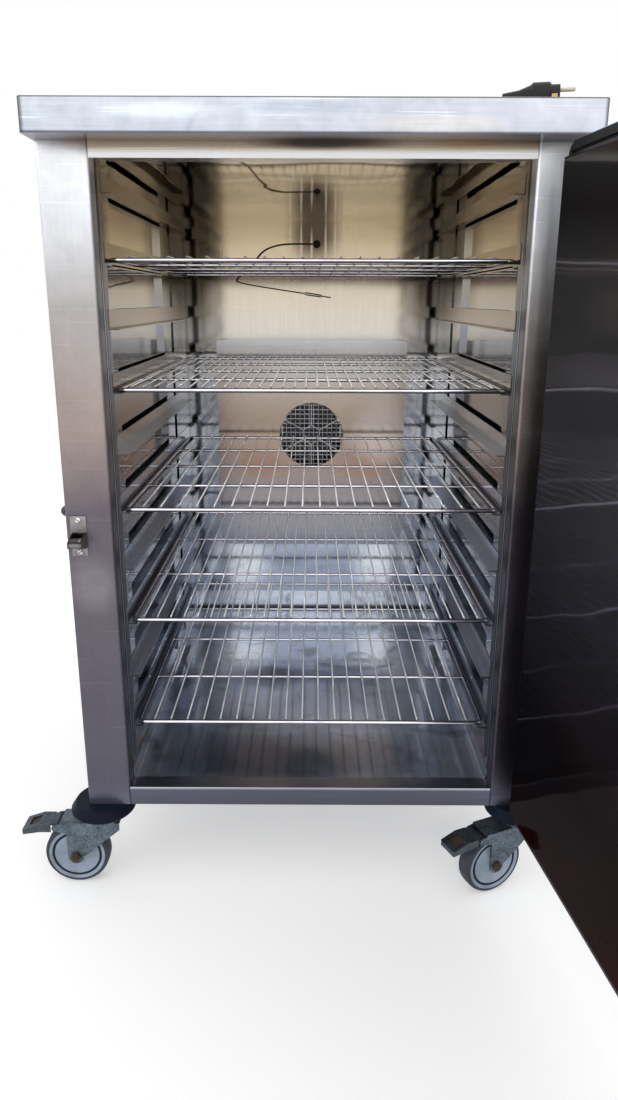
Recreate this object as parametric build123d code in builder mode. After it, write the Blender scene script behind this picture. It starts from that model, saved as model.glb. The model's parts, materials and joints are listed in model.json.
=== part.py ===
from build123d import *
import math
import os

# A heated holding cabinet on casters, with one door, wire shelves on runners and a fan behind a baffle.
# Millimetres. X runs to the right, Y into the cabinet from the front of its posts, Z up from the floor.

# Body
body_w = 680.0
body_d = 835.0
body_h = 928.0
post_w = 65.0
post_d = 30.0
post_round = 4.0
sill_h = 30.0
header_h = 19.0
tube_wall = 1.5
skin = 1.0
base_sheet = 2.0
rear_flange = 20.0
rear_space = 60.0
half_w = body_w / 2
open_half = half_w - post_w
chamber_d = body_d - rear_space

# Worktop, a folded tray turned over
top_h = 39.0
top_sheet = 1.5
top_over_front = 50.0
top_over_side = 1.0
top_over_rear = 10.0
top_corner = 4.0
top_edge = 2.0
top_flange = 20.0

# Chamber lining
liner = 1.0
pan_sheet = 1.2
pan_lip = 14.0
pan_upstand = 45.0
pan_cove = 8.0
board = 25.0
board_gap = 1.8

# Rack: uprights welded to the lining, with angle runners
level_count = 10
level_rise = 92.5
level_head = 12.0
upright_w = 30.0
upright_d = 7.0
upright_front_y = 33.0
upright_rear_in = 64.0
rear_upright_w = 78.0
rear_upright_gap = 28.0
upright_foot = 35.0
runner_sheet = 1.2
runner_h = 26.0
runner_ledge = 14.0
runner_y = 20.0
runner_rear_gap = 28.0

# Wire shelves, which come out at 530 by 650
shelf_side_gap = 10.0
shelf_rear_gap = 43.0
shelf_y = 27.0
shelf_corner = 14.0
shelf_rod = 6.0
shelf_bar = 5.0
shelf_bar_gap = 0.2
shelf_wire = 2.8
shelf_wire_end = 1.5
shelf_step = 2
coarse_count = 20
coarse_edge = 27.5
middle_count = 26
middle_edge = 20.0
fine_count = 32
fine_edge = 20.1
bar_count = 3
middle_bar_count = 2

# Fan baffle, guard, impeller, motor and element
baffle_w = 408.0
baffle_rise = 177.0
baffle_head = 248.0
baffle_d = 55.0
baffle_sheet = 1.2
baffle_round = 4.0
fan_lift = 24.5
fan_hole_r = 70.0
slot_l = 30.0
slot_h = 8.0
slot_pitch = 34.0
guard_wire = 2.0
guard_pitch = 10.0
guard_lap = 11.0
wheel_r = 64.0
wheel_disc = 1.5
wheel_gap = 12.0
blade_count = 10
blade_len = 34.0
blade_sheet = 1.5
blade_h = 20.0
blade_lean = 35.0
fan_hub_r = 15.0
fan_hub_h = 15.0
shaft_r = 4.0
shaft_len = 42.0
shaft_play = 0.05
motor_plate = 90.0
motor_plate_t = 3.0
motor_r = 36.0
motor_len = 62.0
motor_boss_r = 12.0
element_r = 92.0
element_tube_r = 4.0
element_off = 27.0
element_open = 30.0
element_tail = 40.0
tube_side_count = 6
pass_gap = 0.3

# Thermostat with its capillary tube and bulb
probe_x = 10.0
probe_drop = 51.0
capillary_r = 1.2
probe_off = 10.0
capillary_level = 72.0
capillary_reach = 182.0
capillary_fall = 78.0
capillary_back = 24.0
capillary_turn = 6.0
capillary_sweep = 40.0
capillary_hairpin = 6.0
bulb_drop = 101.0
bulb_r = 3.2
bulb_len = 34.0
tail_len = 22.0
grommet_r = 8.0
grommet_t = 3.0
thermo_w = 44.0
thermo_h = 36.0
thermo_d = 26.0

# Service cover on the back, with knob, rocker switch and cord gland
cover_w = 240.0
cover_under_fan = 123.5
cover_head = 28.0
cover_d = 65.0
cover_sheet = 1.2
cover_flange = 14.0
cover_round = 5.0
vent_count = 6
vent_l = 120.0
vent_h = 6.0
vent_pitch = 18.0
knob_r = 20.0
knob_h = 18.0
knob_grip = 6.0
spindle_r = 3.0
rocker_x = -62.0
rocker_w = 24.0
rocker_h = 18.0
rocker_d = 11.5
rocker_tilt = 7.0
rocker_play = 0.5
bezel_wall = 2.5
bezel_in = 14.0
bezel_out = 2.0
trunnion_r = 1.5
gland_drop = 90.0
gland_r = 12.0
gland_nut = 12.0
gland_len = 42.0
gland_tip_r = 7.0

# Bumper discs and casters
caster_in = 18.0
bumper_r = 49.0
bumper_top_r = 41.0
bumper_h = 18.0
bumper_rim = 6.0
wheel_rad = 50.0
wheel_w = 28.0
tread_edge = 4.0
hub_w = 24.0
hub_groove_r = 37.0
hub_groove = 2.5
hub_boss_r = 12.0
hub_side = 1.0
axle_r = 5.0
axle_play = 0.05
axle_head_r = 8.0
axle_head_h = 4.0
trail = 45.0
fork_sheet = 2.5
fork_gap = 3.0
fork_foot_r = 12.0
fork_head_r = 27.0
fork_head_h = 16.0
crown_h = 3.0
crown_gap = 7.7
crown_back = 26.0
kingpin_r = 6.0
swivel_play = 0.3
pedal_out = 29.0
pedal_rise = 1.0
pedal_pin_r = 3.0
pedal_sleeve_r = 5.5
pedal_gap = 2.0
pedal_len = 52.0
pedal_w = 36.0
pedal_sheet = 2.0
pedal_drop = 9.0
pedal_skirt = 13.0
pedal_lip = 8.0
pedal_slot_w = 20.0
pedal_slot_l = 16.0
shoe_half = 2.0
brake_gap = 0.7
caster_turn = {"left_front": 180.0, "right_front": 205.0, "left_rear": 150.0, "right_rear": 20.0}

# Strike on the left post
strike_out = 22.0
strike_down = 22.5
strike_up = 35.0
strike_w = 22.0
strike_sheet = 2.0
strike_ear = 2.0
strike_off = 26.0
roller_drop = 40.0
roller_r = 4.4
roller_len = 14.0
roller_pin_r = 2.0
roller_play = 0.05
roller_side = 0.5
ear_root = 24.0
ear_r = 5.0

# Push handle on the left side
handle_r = 7.0
handle_out = 49.0
handle_drop = 40.5
handle_y = 150.0
handle_len = 300.0
handle_bend = 18.0
handle_foot_r = 14.0
handle_foot = 4.0

# Door
door_lap = 25.0
door_gap_low = 2.0
door_gap_top = 3.0
door_t = 36.0
door_back = 12.0
door_sheet = 1.2
door_edge = 2.5
door_pan_gap = 8.5
door_pan_in = 16.0
door_pan_round = 4.0
door_pan_sheet = 1.0
gasket_in = 4.0
gasket_w = 14.0
gasket_h = 11.0
gasket_lip = 3.0
door_open = 97.1

# Hinges
pivot_side_gap = 9.0
pivot_in = 9.2
barrel_r = 7.0
barrel_half = 30.0
pin_r = 3.0
pin_play = 0.05
pin_len = 26.0
barrel_gap = 0.4
hinge_inset = 125.0
hinge_web_in = 2.0
hinge_web = 6.0
hinge_arm = 10.0
hinge_leaf_edge = 4.0
hinge_leaf_t = 4.0
strap_len = 55.0
strap_t = 3.0

# Latch on the door
latch_drop = 1.5
latch_off = 12.0
case_w = 46.0
case_h = 90.0
case_d = 24.0
case_round = 6.0
case_over = 8.0
latch_shaft_r = 4.0
latch_play = 0.05
hook_w = 9.0
hook_t = 8.0
hook_slack = 3.0
hook_open = 20.0
grip_len = 160.0
grip_w = 18.0
grip_out = 20.0
grip_t = 10.0
grip_gap = 1.0

# Mains cord, its coil, tie and plug
cord_r = 4.5
cord_side_count = 6
cord_lift = 0.3
cord_run = 44.0
cord_run_share = 0.45
cord_side = 84.0
cord_hump = 30.0
lay_half_count = 3
lead_bow = 16.0
coil_side = 135.0
coil_back = 435.0
coil_r = 59.5
coil_pitch = 9.5
coil_turn_count = 4
climb_from = 2.0
climb_turns = 0.5
coil_sample_count = 48
tie_w = 12.0
tie_t = 1.2
tie_gap = 0.3
plug_side = 100.0
plug_y = 66.0
plug_turn = -12.0
plug_r = 19.0
plug_neck_r = 8.0
plug_neck = 20.0
plug_shoulder = 34.0
plug_step = 3.0
plug_nose = 10.0
plug_len = 70.0
plug_pin_r = 2.4
plug_pin_len = 19.0
plug_pin_half = 9.5

# Levels, from the floor up: casters, base, chamber floor, ceiling and worktop
base_z = 2 * wheel_rad + crown_gap + crown_h + fork_head_h + swivel_play + bumper_h
floor_z = base_z + sill_h
body_top = base_z + body_h
ceiling_z = body_top - header_h
top_z = body_top + top_h
level_first = floor_z + level_rise
level_last = ceiling_z - level_head - runner_h + runner_sheet
level_pitch = (level_last - level_first) / (level_count - 1)
baffle_low = floor_z + baffle_rise
baffle_high = ceiling_z - baffle_head
fan_z = (baffle_low + baffle_high) / 2 + fan_lift
probe_z = ceiling_z - probe_drop
cover_low = fan_z - cover_under_fan
cover_high = body_top - cover_head
door_low = base_z + door_gap_low
door_high = body_top - door_gap_top
door_h = door_high - door_low
door_mid_z = (door_low + door_high) / 2
door_pan_low = floor_z + door_pan_gap
door_pan_high = ceiling_z - door_pan_gap
door_pan_h = door_pan_high - door_pan_low
door_pan_mid_z = (door_pan_low + door_pan_high) / 2
latch_z = door_mid_z - latch_drop
roller_z = latch_z - roller_drop

# Depths and widths that several pieces share
baffle_y = chamber_d - baffle_d
runner_len = baffle_y - runner_rear_gap - runner_y
shelf_w = 2 * (open_half - shelf_side_gap)
shelf_d = baffle_y - shelf_rear_gap - shelf_y
cover_y = body_d + cover_d
door_half = open_half + door_lap
door_w = 2 * door_half
door_pan_w = 2 * (open_half - door_pan_gap)
door_face_y = -door_back - door_t
pivot_x = door_half + pivot_side_gap + barrel_r
pivot_y = -door_back - pivot_in
strike_x = -door_half - strike_out

pieces = {}


def span_box(x0, x1, y0, y1, z0, z1, mode=Mode.ADD):
    with Locations(((x0 + x1) / 2, (y0 + y1) / 2, (z0 + z1) / 2)):
        Box(x1 - x0, y1 - y0, z1 - z0, mode=mode)


def facing(y):
    # A plane that faces the front of the cabinet at depth y, drawn on in X and Z
    return Plane.XZ.offset(-y)


# Worktop: top sheet, skirts and a return flange on the body, wide enough in front to close the overhang
top_w = body_w + 2 * top_over_side
top_d = top_over_front + body_d + top_over_rear
top_mid_y = (body_d + top_over_rear - top_over_front) / 2
with BuildPart() as worktop:
    with BuildSketch(Plane.XY.offset(body_top)):
        with Locations((0, top_mid_y)):
            RectangleRounded(top_w, top_d, top_corner)
    extrude(amount=top_h)
    fillet(worktop.faces().sort_by(Axis.Z)[-1].edges(), top_edge)
    with BuildSketch(Plane.XY.offset(body_top + top_sheet)):
        with Locations((0, top_mid_y)):
            RectangleRounded(top_w - 2 * top_sheet, top_d - 2 * top_sheet, top_corner - top_sheet)
    extrude(amount=top_h - 2 * top_sheet, mode=Mode.SUBTRACT)
    span_box(
        -half_w + top_flange,
        half_w - top_flange,
        post_d,
        body_d - top_flange,
        body_top,
        body_top + top_sheet,
        Mode.SUBTRACT,
    )
pieces["worktop"] = worktop.part

# Front frame: two posts of rectangular tube, with a header and a sill of the same tube between them
with BuildPart() as posts:
    with BuildSketch(Plane.XY.offset(base_z)):
        for side in (-1, 1):
            with Locations((side * (half_w - post_w / 2), post_d / 2)):
                RectangleRounded(post_w, post_d, post_round)
                RectangleRounded(
                    post_w - 2 * tube_wall, post_d - 2 * tube_wall, post_round - tube_wall, mode=Mode.SUBTRACT
                )
    extrude(amount=body_top - base_z)
pieces["posts"] = posts.part

with BuildPart() as cross_rails:
    for low, high in ((base_z, floor_z), (ceiling_z, body_top)):
        with BuildSketch(Plane.YZ.offset(-open_half)):
            with Locations((post_d / 2, (low + high) / 2)):
                Rectangle(post_d, high - low)
                Rectangle(post_d - 2 * tube_wall, high - low - 2 * tube_wall, mode=Mode.SUBTRACT)
        extrude(amount=2 * open_half)
pieces["cross_rails"] = cross_rails.part

# Outer panels: sides with a flange turned in at the rear, the rear sheet and the base
with BuildPart() as side_panels:
    with BuildSketch(Plane.XY.offset(base_z)):
        for side in (-1, 1):
            with Locations((side * (half_w - skin / 2), (post_d + body_d) / 2)):
                Rectangle(skin, body_d - post_d)
            with Locations((side * (half_w - rear_flange / 2), body_d - skin * 3 / 2)):
                Rectangle(rear_flange, skin)
    extrude(amount=body_top - base_z)
pieces["side_panels"] = side_panels.part

motor_hole_r = motor_r + wheel_gap
with BuildPart() as rear_panel:
    span_box(-half_w + skin, half_w - skin, body_d - skin, body_d, base_z, body_top)
    with BuildSketch(facing(body_d)):
        with Locations((0, fan_z)):
            Circle(motor_hole_r)
        with Locations((probe_x, probe_z)):
            Circle(grommet_r)
    extrude(amount=skin, mode=Mode.SUBTRACT)
pieces["rear_panel"] = rear_panel.part

with BuildPart() as base_panel:
    span_box(-half_w + skin, half_w - skin, post_d, body_d - 2 * skin, base_z, base_z + base_sheet)
pieces["base_panel"] = base_panel.part

# Chamber lining: side sheets with hollow uprights welded on, back sheet, ceiling and a coved floor pan
with BuildPart() as liner_sides:
    last_upright_y = runner_y + runner_len - upright_rear_in - rear_upright_w
    uprights = (
        (upright_front_y, upright_w),
        (last_upright_y - rear_upright_gap - rear_upright_w, rear_upright_w),
        (last_upright_y, rear_upright_w),
    )
    for side in (-1, 1):
        with BuildSketch(Plane.XY.offset(floor_z)):
            with Locations((side * (open_half + liner / 2), (post_d + chamber_d) / 2)):
                Rectangle(liner, chamber_d - post_d)
        extrude(amount=ceiling_z - floor_z)
        with BuildSketch(Plane.XY.offset(floor_z + upright_foot)):
            for upright_y, width in uprights:
                with Locations((side * (open_half - upright_d / 2), upright_y + width / 2)):
                    Rectangle(upright_d, width)
                    Rectangle(upright_d - 2 * runner_sheet, width - 2 * runner_sheet, mode=Mode.SUBTRACT)
        extrude(amount=ceiling_z - floor_z - upright_foot)
pieces["liner_sides"] = liner_sides.part

element_angles = (270 - element_open / 2, 270 + element_open / 2)
element_ends = [
    (element_r * math.cos(math.radians(angle)), fan_z + element_r * math.sin(math.radians(angle)))
    for angle in element_angles
]
with BuildPart() as liner_back:
    span_box(
        -open_half - liner, open_half + liner, chamber_d, chamber_d + liner, floor_z - pan_sheet, ceiling_z
    )
    with BuildSketch(facing(chamber_d + liner)):
        with Locations((0, fan_z)):
            Circle(motor_boss_r + pass_gap)
        with Locations(*element_ends):
            Circle(element_tube_r + pass_gap)
        with Locations((probe_x, probe_z)):
            Circle(grommet_r - grommet_t / 2)
    extrude(amount=liner, mode=Mode.SUBTRACT)
pieces["liner_back"] = liner_back.part

with BuildPart() as liner_ceiling:
    span_box(
        -open_half - liner, open_half + liner, post_d, chamber_d + liner, ceiling_z, ceiling_z + liner
    )
pieces["liner_ceiling"] = liner_ceiling.part

with BuildPart() as floor_pan:
    span_box(-open_half, open_half, post_d, chamber_d, floor_z - pan_sheet, floor_z + pan_upstand)
    pan_under = floor_pan.faces().sort_by(Axis.Z)[0]
    fillet(pan_under.edges().sort_by(Axis.Y)[1:], pan_cove)
    pan_front = floor_pan.faces().sort_by(Axis.Y)[0]
    pan_mouth = floor_pan.faces().sort_by(Axis.Z)[-1]
    offset(amount=-pan_sheet, openings=[pan_front, pan_mouth])
    span_box(
        -open_half,
        open_half,
        post_d,
        chamber_d - pan_cove,
        floor_z + pan_lip,
        floor_z + pan_upstand,
        Mode.SUBTRACT,
    )
pieces["floor_pan"] = floor_pan.part

# Mineral wool boards behind the lining, with a hole for the motor plate and one for the capillary
board_y = chamber_d + liner
floor_board = sill_h - pan_sheet - base_sheet - board_gap
with BuildPart() as insulation:
    for side in (-1, 1):
        near = side * (open_half + liner)
        far = side * (open_half + liner + board)
        span_box(min(near, far), max(near, far), post_d, chamber_d, floor_z, ceiling_z)
    span_box(-open_half, open_half, post_d, chamber_d, floor_z - pan_sheet - floor_board, floor_z - pan_sheet)
    span_box(-open_half, open_half, post_d, chamber_d, ceiling_z + liner, body_top)
    span_box(-open_half, open_half, board_y, board_y + board, floor_z, ceiling_z)
    span_box(
        -motor_plate / 2 - wheel_gap,
        motor_plate / 2 + wheel_gap,
        board_y,
        board_y + board,
        fan_z - element_r - wheel_gap,
        fan_z + motor_plate / 2 + wheel_gap,
        Mode.SUBTRACT,
    )
    with BuildSketch(facing(board_y + board)):
        with Locations((probe_x, probe_z)):
            Circle(grommet_r)
    extrude(amount=board, mode=Mode.SUBTRACT)
pieces["insulation"] = insulation.part

# Runners: plain angles on the uprights, one pair for each level
flange_out = open_half - upright_d
for side_name, side in (("left", -1), ("right", 1)):
    with BuildPart() as runners:
        with BuildSketch(facing(runner_y)):
            for level in range(level_count):
                ledge_top = level_first + level * level_pitch
                flange_mid = ledge_top - runner_sheet + runner_h / 2
                with Locations((side * (flange_out - runner_sheet / 2), flange_mid)):
                    Rectangle(runner_sheet, runner_h)
                with Locations((side * (flange_out - runner_ledge / 2), ledge_top - runner_sheet / 2)):
                    Rectangle(runner_ledge, runner_sheet)
        extrude(amount=-runner_len)
    pieces[side_name + "_runners"] = runners.part


# Wire shelf: a rounded frame with bars across it, and wires just above the bars with their ends on the frame
def wire_shelf(level, wire_count, wire_edge, bars):
    rod_z = level_first + level * level_pitch
    wire_pitch = (shelf_w - 2 * wire_edge) / (wire_count - 1)
    mid_y = shelf_y + shelf_d / 2
    with BuildPart() as shelf:
        with BuildSketch(Plane.XY.offset(rod_z)):
            with Locations((0, mid_y)):
                RectangleRounded(shelf_w, shelf_d, shelf_corner)
                RectangleRounded(
                    shelf_w - 2 * shelf_rod,
                    shelf_d - 2 * shelf_rod,
                    shelf_corner - shelf_rod,
                    mode=Mode.SUBTRACT,
                )
        extrude(amount=shelf_rod)
        with BuildSketch(Plane.XY.offset(rod_z)):
            with Locations((0, mid_y)):
                with GridLocations(0, (shelf_d - shelf_rod) / (bars + 1), 1, bars):
                    Rectangle(shelf_w - shelf_rod, shelf_bar)
        extrude(amount=shelf_rod - shelf_bar_gap)
        with BuildSketch(Plane.XY.offset(rod_z + shelf_rod)):
            with Locations((0, mid_y)):
                with GridLocations(wire_pitch, 0, wire_count, 1):
                    Rectangle(shelf_wire, shelf_d - 2 * shelf_wire_end)
        extrude(amount=shelf_wire)
    return shelf.part


coarse = (coarse_count, coarse_edge, bar_count)
middle = (middle_count, middle_edge, middle_bar_count)
fine = (fine_count, fine_edge, bar_count)
weaves = (coarse, middle, coarse, fine, coarse)
for above, weave in enumerate(weaves):
    pieces["shelf_" + str(len(weaves) - above)] = wire_shelf(above * shelf_step, *weave)

# Fan baffle: a folded box on the back wall with a round inlet and louvre slots down both sides
slot_count = int((baffle_high - baffle_low - slot_pitch) / slot_pitch)
with BuildPart() as fan_baffle:
    with BuildSketch(facing(baffle_y)):
        with Locations((0, (baffle_low + baffle_high) / 2)):
            RectangleRounded(baffle_w, baffle_high - baffle_low, baffle_round)
    extrude(amount=-baffle_d)
    with BuildSketch(facing(baffle_y + baffle_sheet)):
        with Locations((0, (baffle_low + baffle_high) / 2)):
            RectangleRounded(
                baffle_w - 2 * baffle_sheet,
                baffle_high - baffle_low - 2 * baffle_sheet,
                baffle_round - baffle_sheet,
            )
    extrude(amount=-baffle_d, mode=Mode.SUBTRACT)
    with BuildSketch(facing(baffle_y)):
        with Locations((0, fan_z)):
            Circle(fan_hole_r)
    extrude(amount=-baffle_sheet, mode=Mode.SUBTRACT)
    with BuildSketch(Plane.YZ.offset(-baffle_w / 2)):
        with Locations((chamber_d - baffle_d / 2, (baffle_low + baffle_high) / 2)):
            with GridLocations(0, slot_pitch, 1, slot_count):
                Rectangle(slot_l, slot_h)
    extrude(amount=baffle_w, mode=Mode.SUBTRACT)
pieces["fan_baffle"] = fan_baffle.part

# Guard behind the inlet: a square mesh, upright wires against the baffle and level wires behind them
guard_y = baffle_y + baffle_sheet
guard_half = fan_hole_r + guard_lap
guard_count = int(2 * guard_half / guard_pitch)
guard_edge = (guard_count - 1) * guard_pitch
with BuildPart() as guard_uprights:
    with BuildSketch(facing(guard_y)):
        with Locations((0, fan_z)):
            with GridLocations(guard_pitch, 0, guard_count, 1):
                Rectangle(guard_wire, 2 * guard_half)
            with GridLocations(0, 2 * guard_half, 1, 2):
                Rectangle(guard_edge + guard_wire, guard_wire)
    extrude(amount=-guard_wire)
with BuildPart() as guard_levels:
    with BuildSketch(facing(guard_y + guard_wire)):
        with Locations((0, fan_z)):
            with GridLocations(0, guard_pitch, 1, guard_count):
                Rectangle(2 * guard_half, guard_wire)
            with GridLocations(2 * guard_half, 0, 2, 1):
                Rectangle(guard_wire, guard_edge + guard_wire)
    extrude(amount=-guard_wire)
pieces["fan_guard"] = Compound([guard_uprights.solid(), guard_levels.solid()])

# Impeller: a disc with leaning blades and a hub on the motor's shaft
disc_y = chamber_d - wheel_gap
with BuildPart() as impeller:
    with BuildSketch(facing(disc_y)):
        with Locations((0, fan_z)):
            Circle(wheel_r)
    extrude(amount=wheel_disc)
    with BuildSketch(facing(disc_y - wheel_disc)):
        with Locations((0, fan_z)):
            with PolarLocations(wheel_r - blade_len / 2, blade_count):
                Rectangle(blade_len, blade_sheet, rotation=blade_lean)
    extrude(amount=blade_h)
    with BuildSketch(facing(disc_y - wheel_disc)):
        with Locations((0, fan_z)):
            Circle(fan_hub_r)
    extrude(amount=fan_hub_h)
    with BuildSketch(facing(disc_y)):
        with Locations((0, fan_z)):
            Circle(shaft_r)
    extrude(amount=-shaft_len)
pieces["impeller"] = impeller.part

# Fan motor: a can on a square plate behind the back lining, with a boss through it that carries the shaft
motor_y = chamber_d + liner
with BuildPart() as fan_motor:
    with BuildSketch(facing(motor_y)):
        with Locations((0, fan_z)):
            RectangleRounded(motor_plate, motor_plate, motor_boss_r)
    extrude(amount=-motor_plate_t)
    with BuildSketch(facing(motor_y + motor_plate_t)):
        with Locations((0, fan_z)):
            Circle(motor_r)
    extrude(amount=-motor_len)
    chamfer(fan_motor.faces().sort_by(Axis.Y)[-1].edges(), motor_boss_r / 2)
    with BuildSketch(facing(motor_y)):
        with Locations((0, fan_z)):
            Circle(motor_boss_r)
    extrude(amount=liner + motor_plate_t)
    with BuildSketch(facing(motor_y - liner - motor_plate_t)):
        with Locations((0, fan_z)):
            Circle(shaft_r + shaft_play)
    extrude(amount=-shaft_len, mode=Mode.SUBTRACT)
pieces["fan_motor"] = fan_motor.part

# Heating element: an open ring of sheathed tube round the impeller, its two tails through the back lining
element_y = chamber_d - element_off
ring_start = math.radians(element_angles[0])
ring_radial = (math.cos(ring_start), 0, math.sin(ring_start))
ring_along = (-math.sin(ring_start), 0, math.cos(ring_start))
with BuildPart() as heating_element:
    with BuildSketch(Plane(origin=(0, element_y, fan_z), x_dir=ring_radial, z_dir=ring_along)):
        with Locations((element_r, 0)):
            RegularPolygon(element_tube_r, tube_side_count)
    revolve(axis=Axis((0, 0, fan_z), (0, 1, 0)), revolution_arc=360 - element_open)
    with BuildSketch(facing(element_y - element_tube_r)):
        with Locations(*element_ends):
            Circle(element_tube_r)
    extrude(amount=-element_tail - element_tube_r)
pieces["heating_element"] = heating_element.part

# Thermostat capillary: from the thermostat through a grommet, across the back wall and back to its bulb
probe_y = chamber_d - probe_off
thermo_y = cover_y - cover_sheet - thermo_d
capillary_points = [
    (probe_x, thermo_y, probe_z),
    (probe_x, probe_y, probe_z),
    (probe_x - capillary_level, probe_y, probe_z),
    (probe_x - capillary_reach, probe_y, probe_z - capillary_fall),
    (probe_x - capillary_back, probe_y, probe_z - bulb_drop),
]
capillary_bends = [capillary_turn, capillary_sweep, capillary_hairpin]
bulb_start = Vector(*capillary_points[-1])
bulb_way = (bulb_start - Vector(*capillary_points[-2])).normalized()
with BuildPart() as capillary:
    with BuildLine() as capillary_line:
        FilletPolyline(*capillary_points, radius=capillary_bends)
    with BuildSketch(facing(thermo_y)):
        with Locations((probe_x, probe_z)):
            RegularPolygon(capillary_r, tube_side_count)
    sweep(path=capillary_line.wires()[0])
    with BuildSketch(Plane(origin=bulb_start, z_dir=bulb_way)):
        Circle(bulb_r)
    extrude(amount=bulb_len)
    with BuildSketch(Plane(origin=bulb_start + bulb_way * bulb_len, z_dir=bulb_way)):
        Circle(capillary_r)
    extrude(amount=tail_len)
pieces["capillary"] = capillary.part

with BuildPart() as grommet:
    with BuildSketch(facing(chamber_d)):
        with Locations((probe_x, probe_z)):
            Circle(grommet_r)
    extrude(amount=grommet_t)
    chamfer(grommet.faces().sort_by(Axis.Y)[0].edges(), grommet_t / 2)
    with BuildSketch(facing(chamber_d)):
        with Locations((probe_x, probe_z)):
            Circle(grommet_r - grommet_t / 2 - pass_gap)
    extrude(amount=-liner - grommet_t)
    with BuildSketch(facing(chamber_d - grommet_t)):
        with Locations((probe_x, probe_z)):
            Circle(capillary_r + pass_gap)
    extrude(amount=-liner - 2 * grommet_t, mode=Mode.SUBTRACT)
pieces["grommet"] = grommet.part

# Thermostat body behind the cover, bored for the knob's spindle
with BuildPart() as thermostat:
    with BuildSketch(facing(thermo_y)):
        with Locations((probe_x, probe_z)):
            RectangleRounded(thermo_w, thermo_h, knob_grip)
    extrude(amount=-thermo_d)
    with BuildSketch(facing(cover_y - cover_sheet)):
        with Locations((probe_x, probe_z)):
            Circle(spindle_r + shaft_play)
    extrude(amount=thermo_d / 2, mode=Mode.SUBTRACT)
pieces["thermostat"] = thermostat.part

# Service cover: a folded box with flanges on the rear panel, vents low down, and a bezel for the switch
cover_mid_z = (cover_low + cover_high) / 2
cover_h = cover_high - cover_low
with BuildPart() as service_cover:
    with BuildSketch(facing(cover_y)):
        with Locations((0, cover_mid_z)):
            RectangleRounded(cover_w, cover_h, cover_round)
    extrude(amount=cover_d)
    with BuildSketch(facing(body_d)):
        with Locations((0, cover_mid_z)):
            RectangleRounded(cover_w + 2 * cover_flange, cover_h + 2 * cover_flange, cover_round)
    extrude(amount=-cover_sheet)
    with BuildSketch(facing(cover_y - cover_sheet)):
        with Locations((0, cover_mid_z)):
            RectangleRounded(cover_w - 2 * cover_sheet, cover_h - 2 * cover_sheet, cover_round - cover_sheet)
    extrude(amount=cover_d, mode=Mode.SUBTRACT)
    with BuildSketch(facing(cover_y + bezel_out)):
        with Locations((rocker_x, probe_z)):
            Rectangle(rocker_w + 2 * (rocker_play + bezel_wall), rocker_h + 2 * (rocker_play + bezel_wall))
    extrude(amount=bezel_out + bezel_in)
    with BuildSketch(facing(cover_y + bezel_out)):
        with Locations((rocker_x, probe_z)):
            Rectangle(rocker_w + 2 * rocker_play, rocker_h + 2 * rocker_play)
    extrude(amount=bezel_out + bezel_in, mode=Mode.SUBTRACT)
    with BuildSketch(Plane.YZ.offset(rocker_x - rocker_w / 2 - rocker_play - bezel_wall)):
        with Locations((cover_y - bezel_in / 2, probe_z)):
            Circle(trunnion_r + shaft_play)
    extrude(amount=rocker_w + 2 * (rocker_play + bezel_wall), mode=Mode.SUBTRACT)
    with BuildSketch(facing(cover_y)):
        with Locations((probe_x, probe_z)):
            Circle(spindle_r + pass_gap)
        with Locations((0, cover_low + vent_count * vent_pitch)):
            with GridLocations(0, vent_pitch, 1, vent_count):
                Rectangle(vent_l, vent_h)
    extrude(amount=cover_sheet, mode=Mode.SUBTRACT)
pieces["service_cover"] = service_cover.part

with BuildPart() as knob:
    with BuildSketch(facing(cover_y + pass_gap)):
        with Locations((probe_x, probe_z)):
            Circle(knob_r)
    extrude(amount=-knob_h / 3)
    with BuildSketch(facing(cover_y + pass_gap + knob_h / 3)):
        with Locations((probe_x, probe_z)):
            Circle(knob_r - knob_grip / 2)
            Rectangle(knob_grip, 2 * knob_r, mode=Mode.ADD)
    extrude(amount=-knob_h * 2 / 3)
    with BuildSketch(facing(cover_y + pass_gap)):
        with Locations((probe_x, probe_z)):
            Circle(spindle_r)
    extrude(amount=cover_sheet + thermo_d / 3)
pieces["knob"] = knob.part

# Rocker: a key with a round back that tips on two trunnions in the bezel, shown with one end pressed in
rocker_pivot_y = cover_y - bezel_in / 2
rocker_face_y = rocker_pivot_y + rocker_d
with BuildPart() as rocker:
    with BuildSketch(Plane.YZ.offset(rocker_x - rocker_w / 2)):
        with BuildLine():
            Polyline(
                (rocker_pivot_y, probe_z - rocker_h / 2),
                (rocker_face_y, probe_z - rocker_h / 2 + bezel_out),
                (rocker_face_y - bezel_out, probe_z),
                (rocker_face_y, probe_z + rocker_h / 2 - bezel_out),
                (rocker_pivot_y, probe_z + rocker_h / 2),
                close=True,
            )
        make_face()
        with Locations((rocker_pivot_y, probe_z)):
            Circle(rocker_h / 2)
    extrude(amount=rocker_w)
    with BuildSketch(Plane.YZ.offset(rocker_x - rocker_w / 2 - rocker_play - bezel_wall / 2)):
        with Locations((rocker_pivot_y, probe_z)):
            Circle(trunnion_r)
    extrude(amount=rocker_w + 2 * rocker_play + bezel_wall)
rocker_axis = Axis((0, rocker_pivot_y, probe_z), (1, 0, 0))
pieces["rocker"] = rocker.part.rotate(rocker_axis, rocker_tilt)

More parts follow.
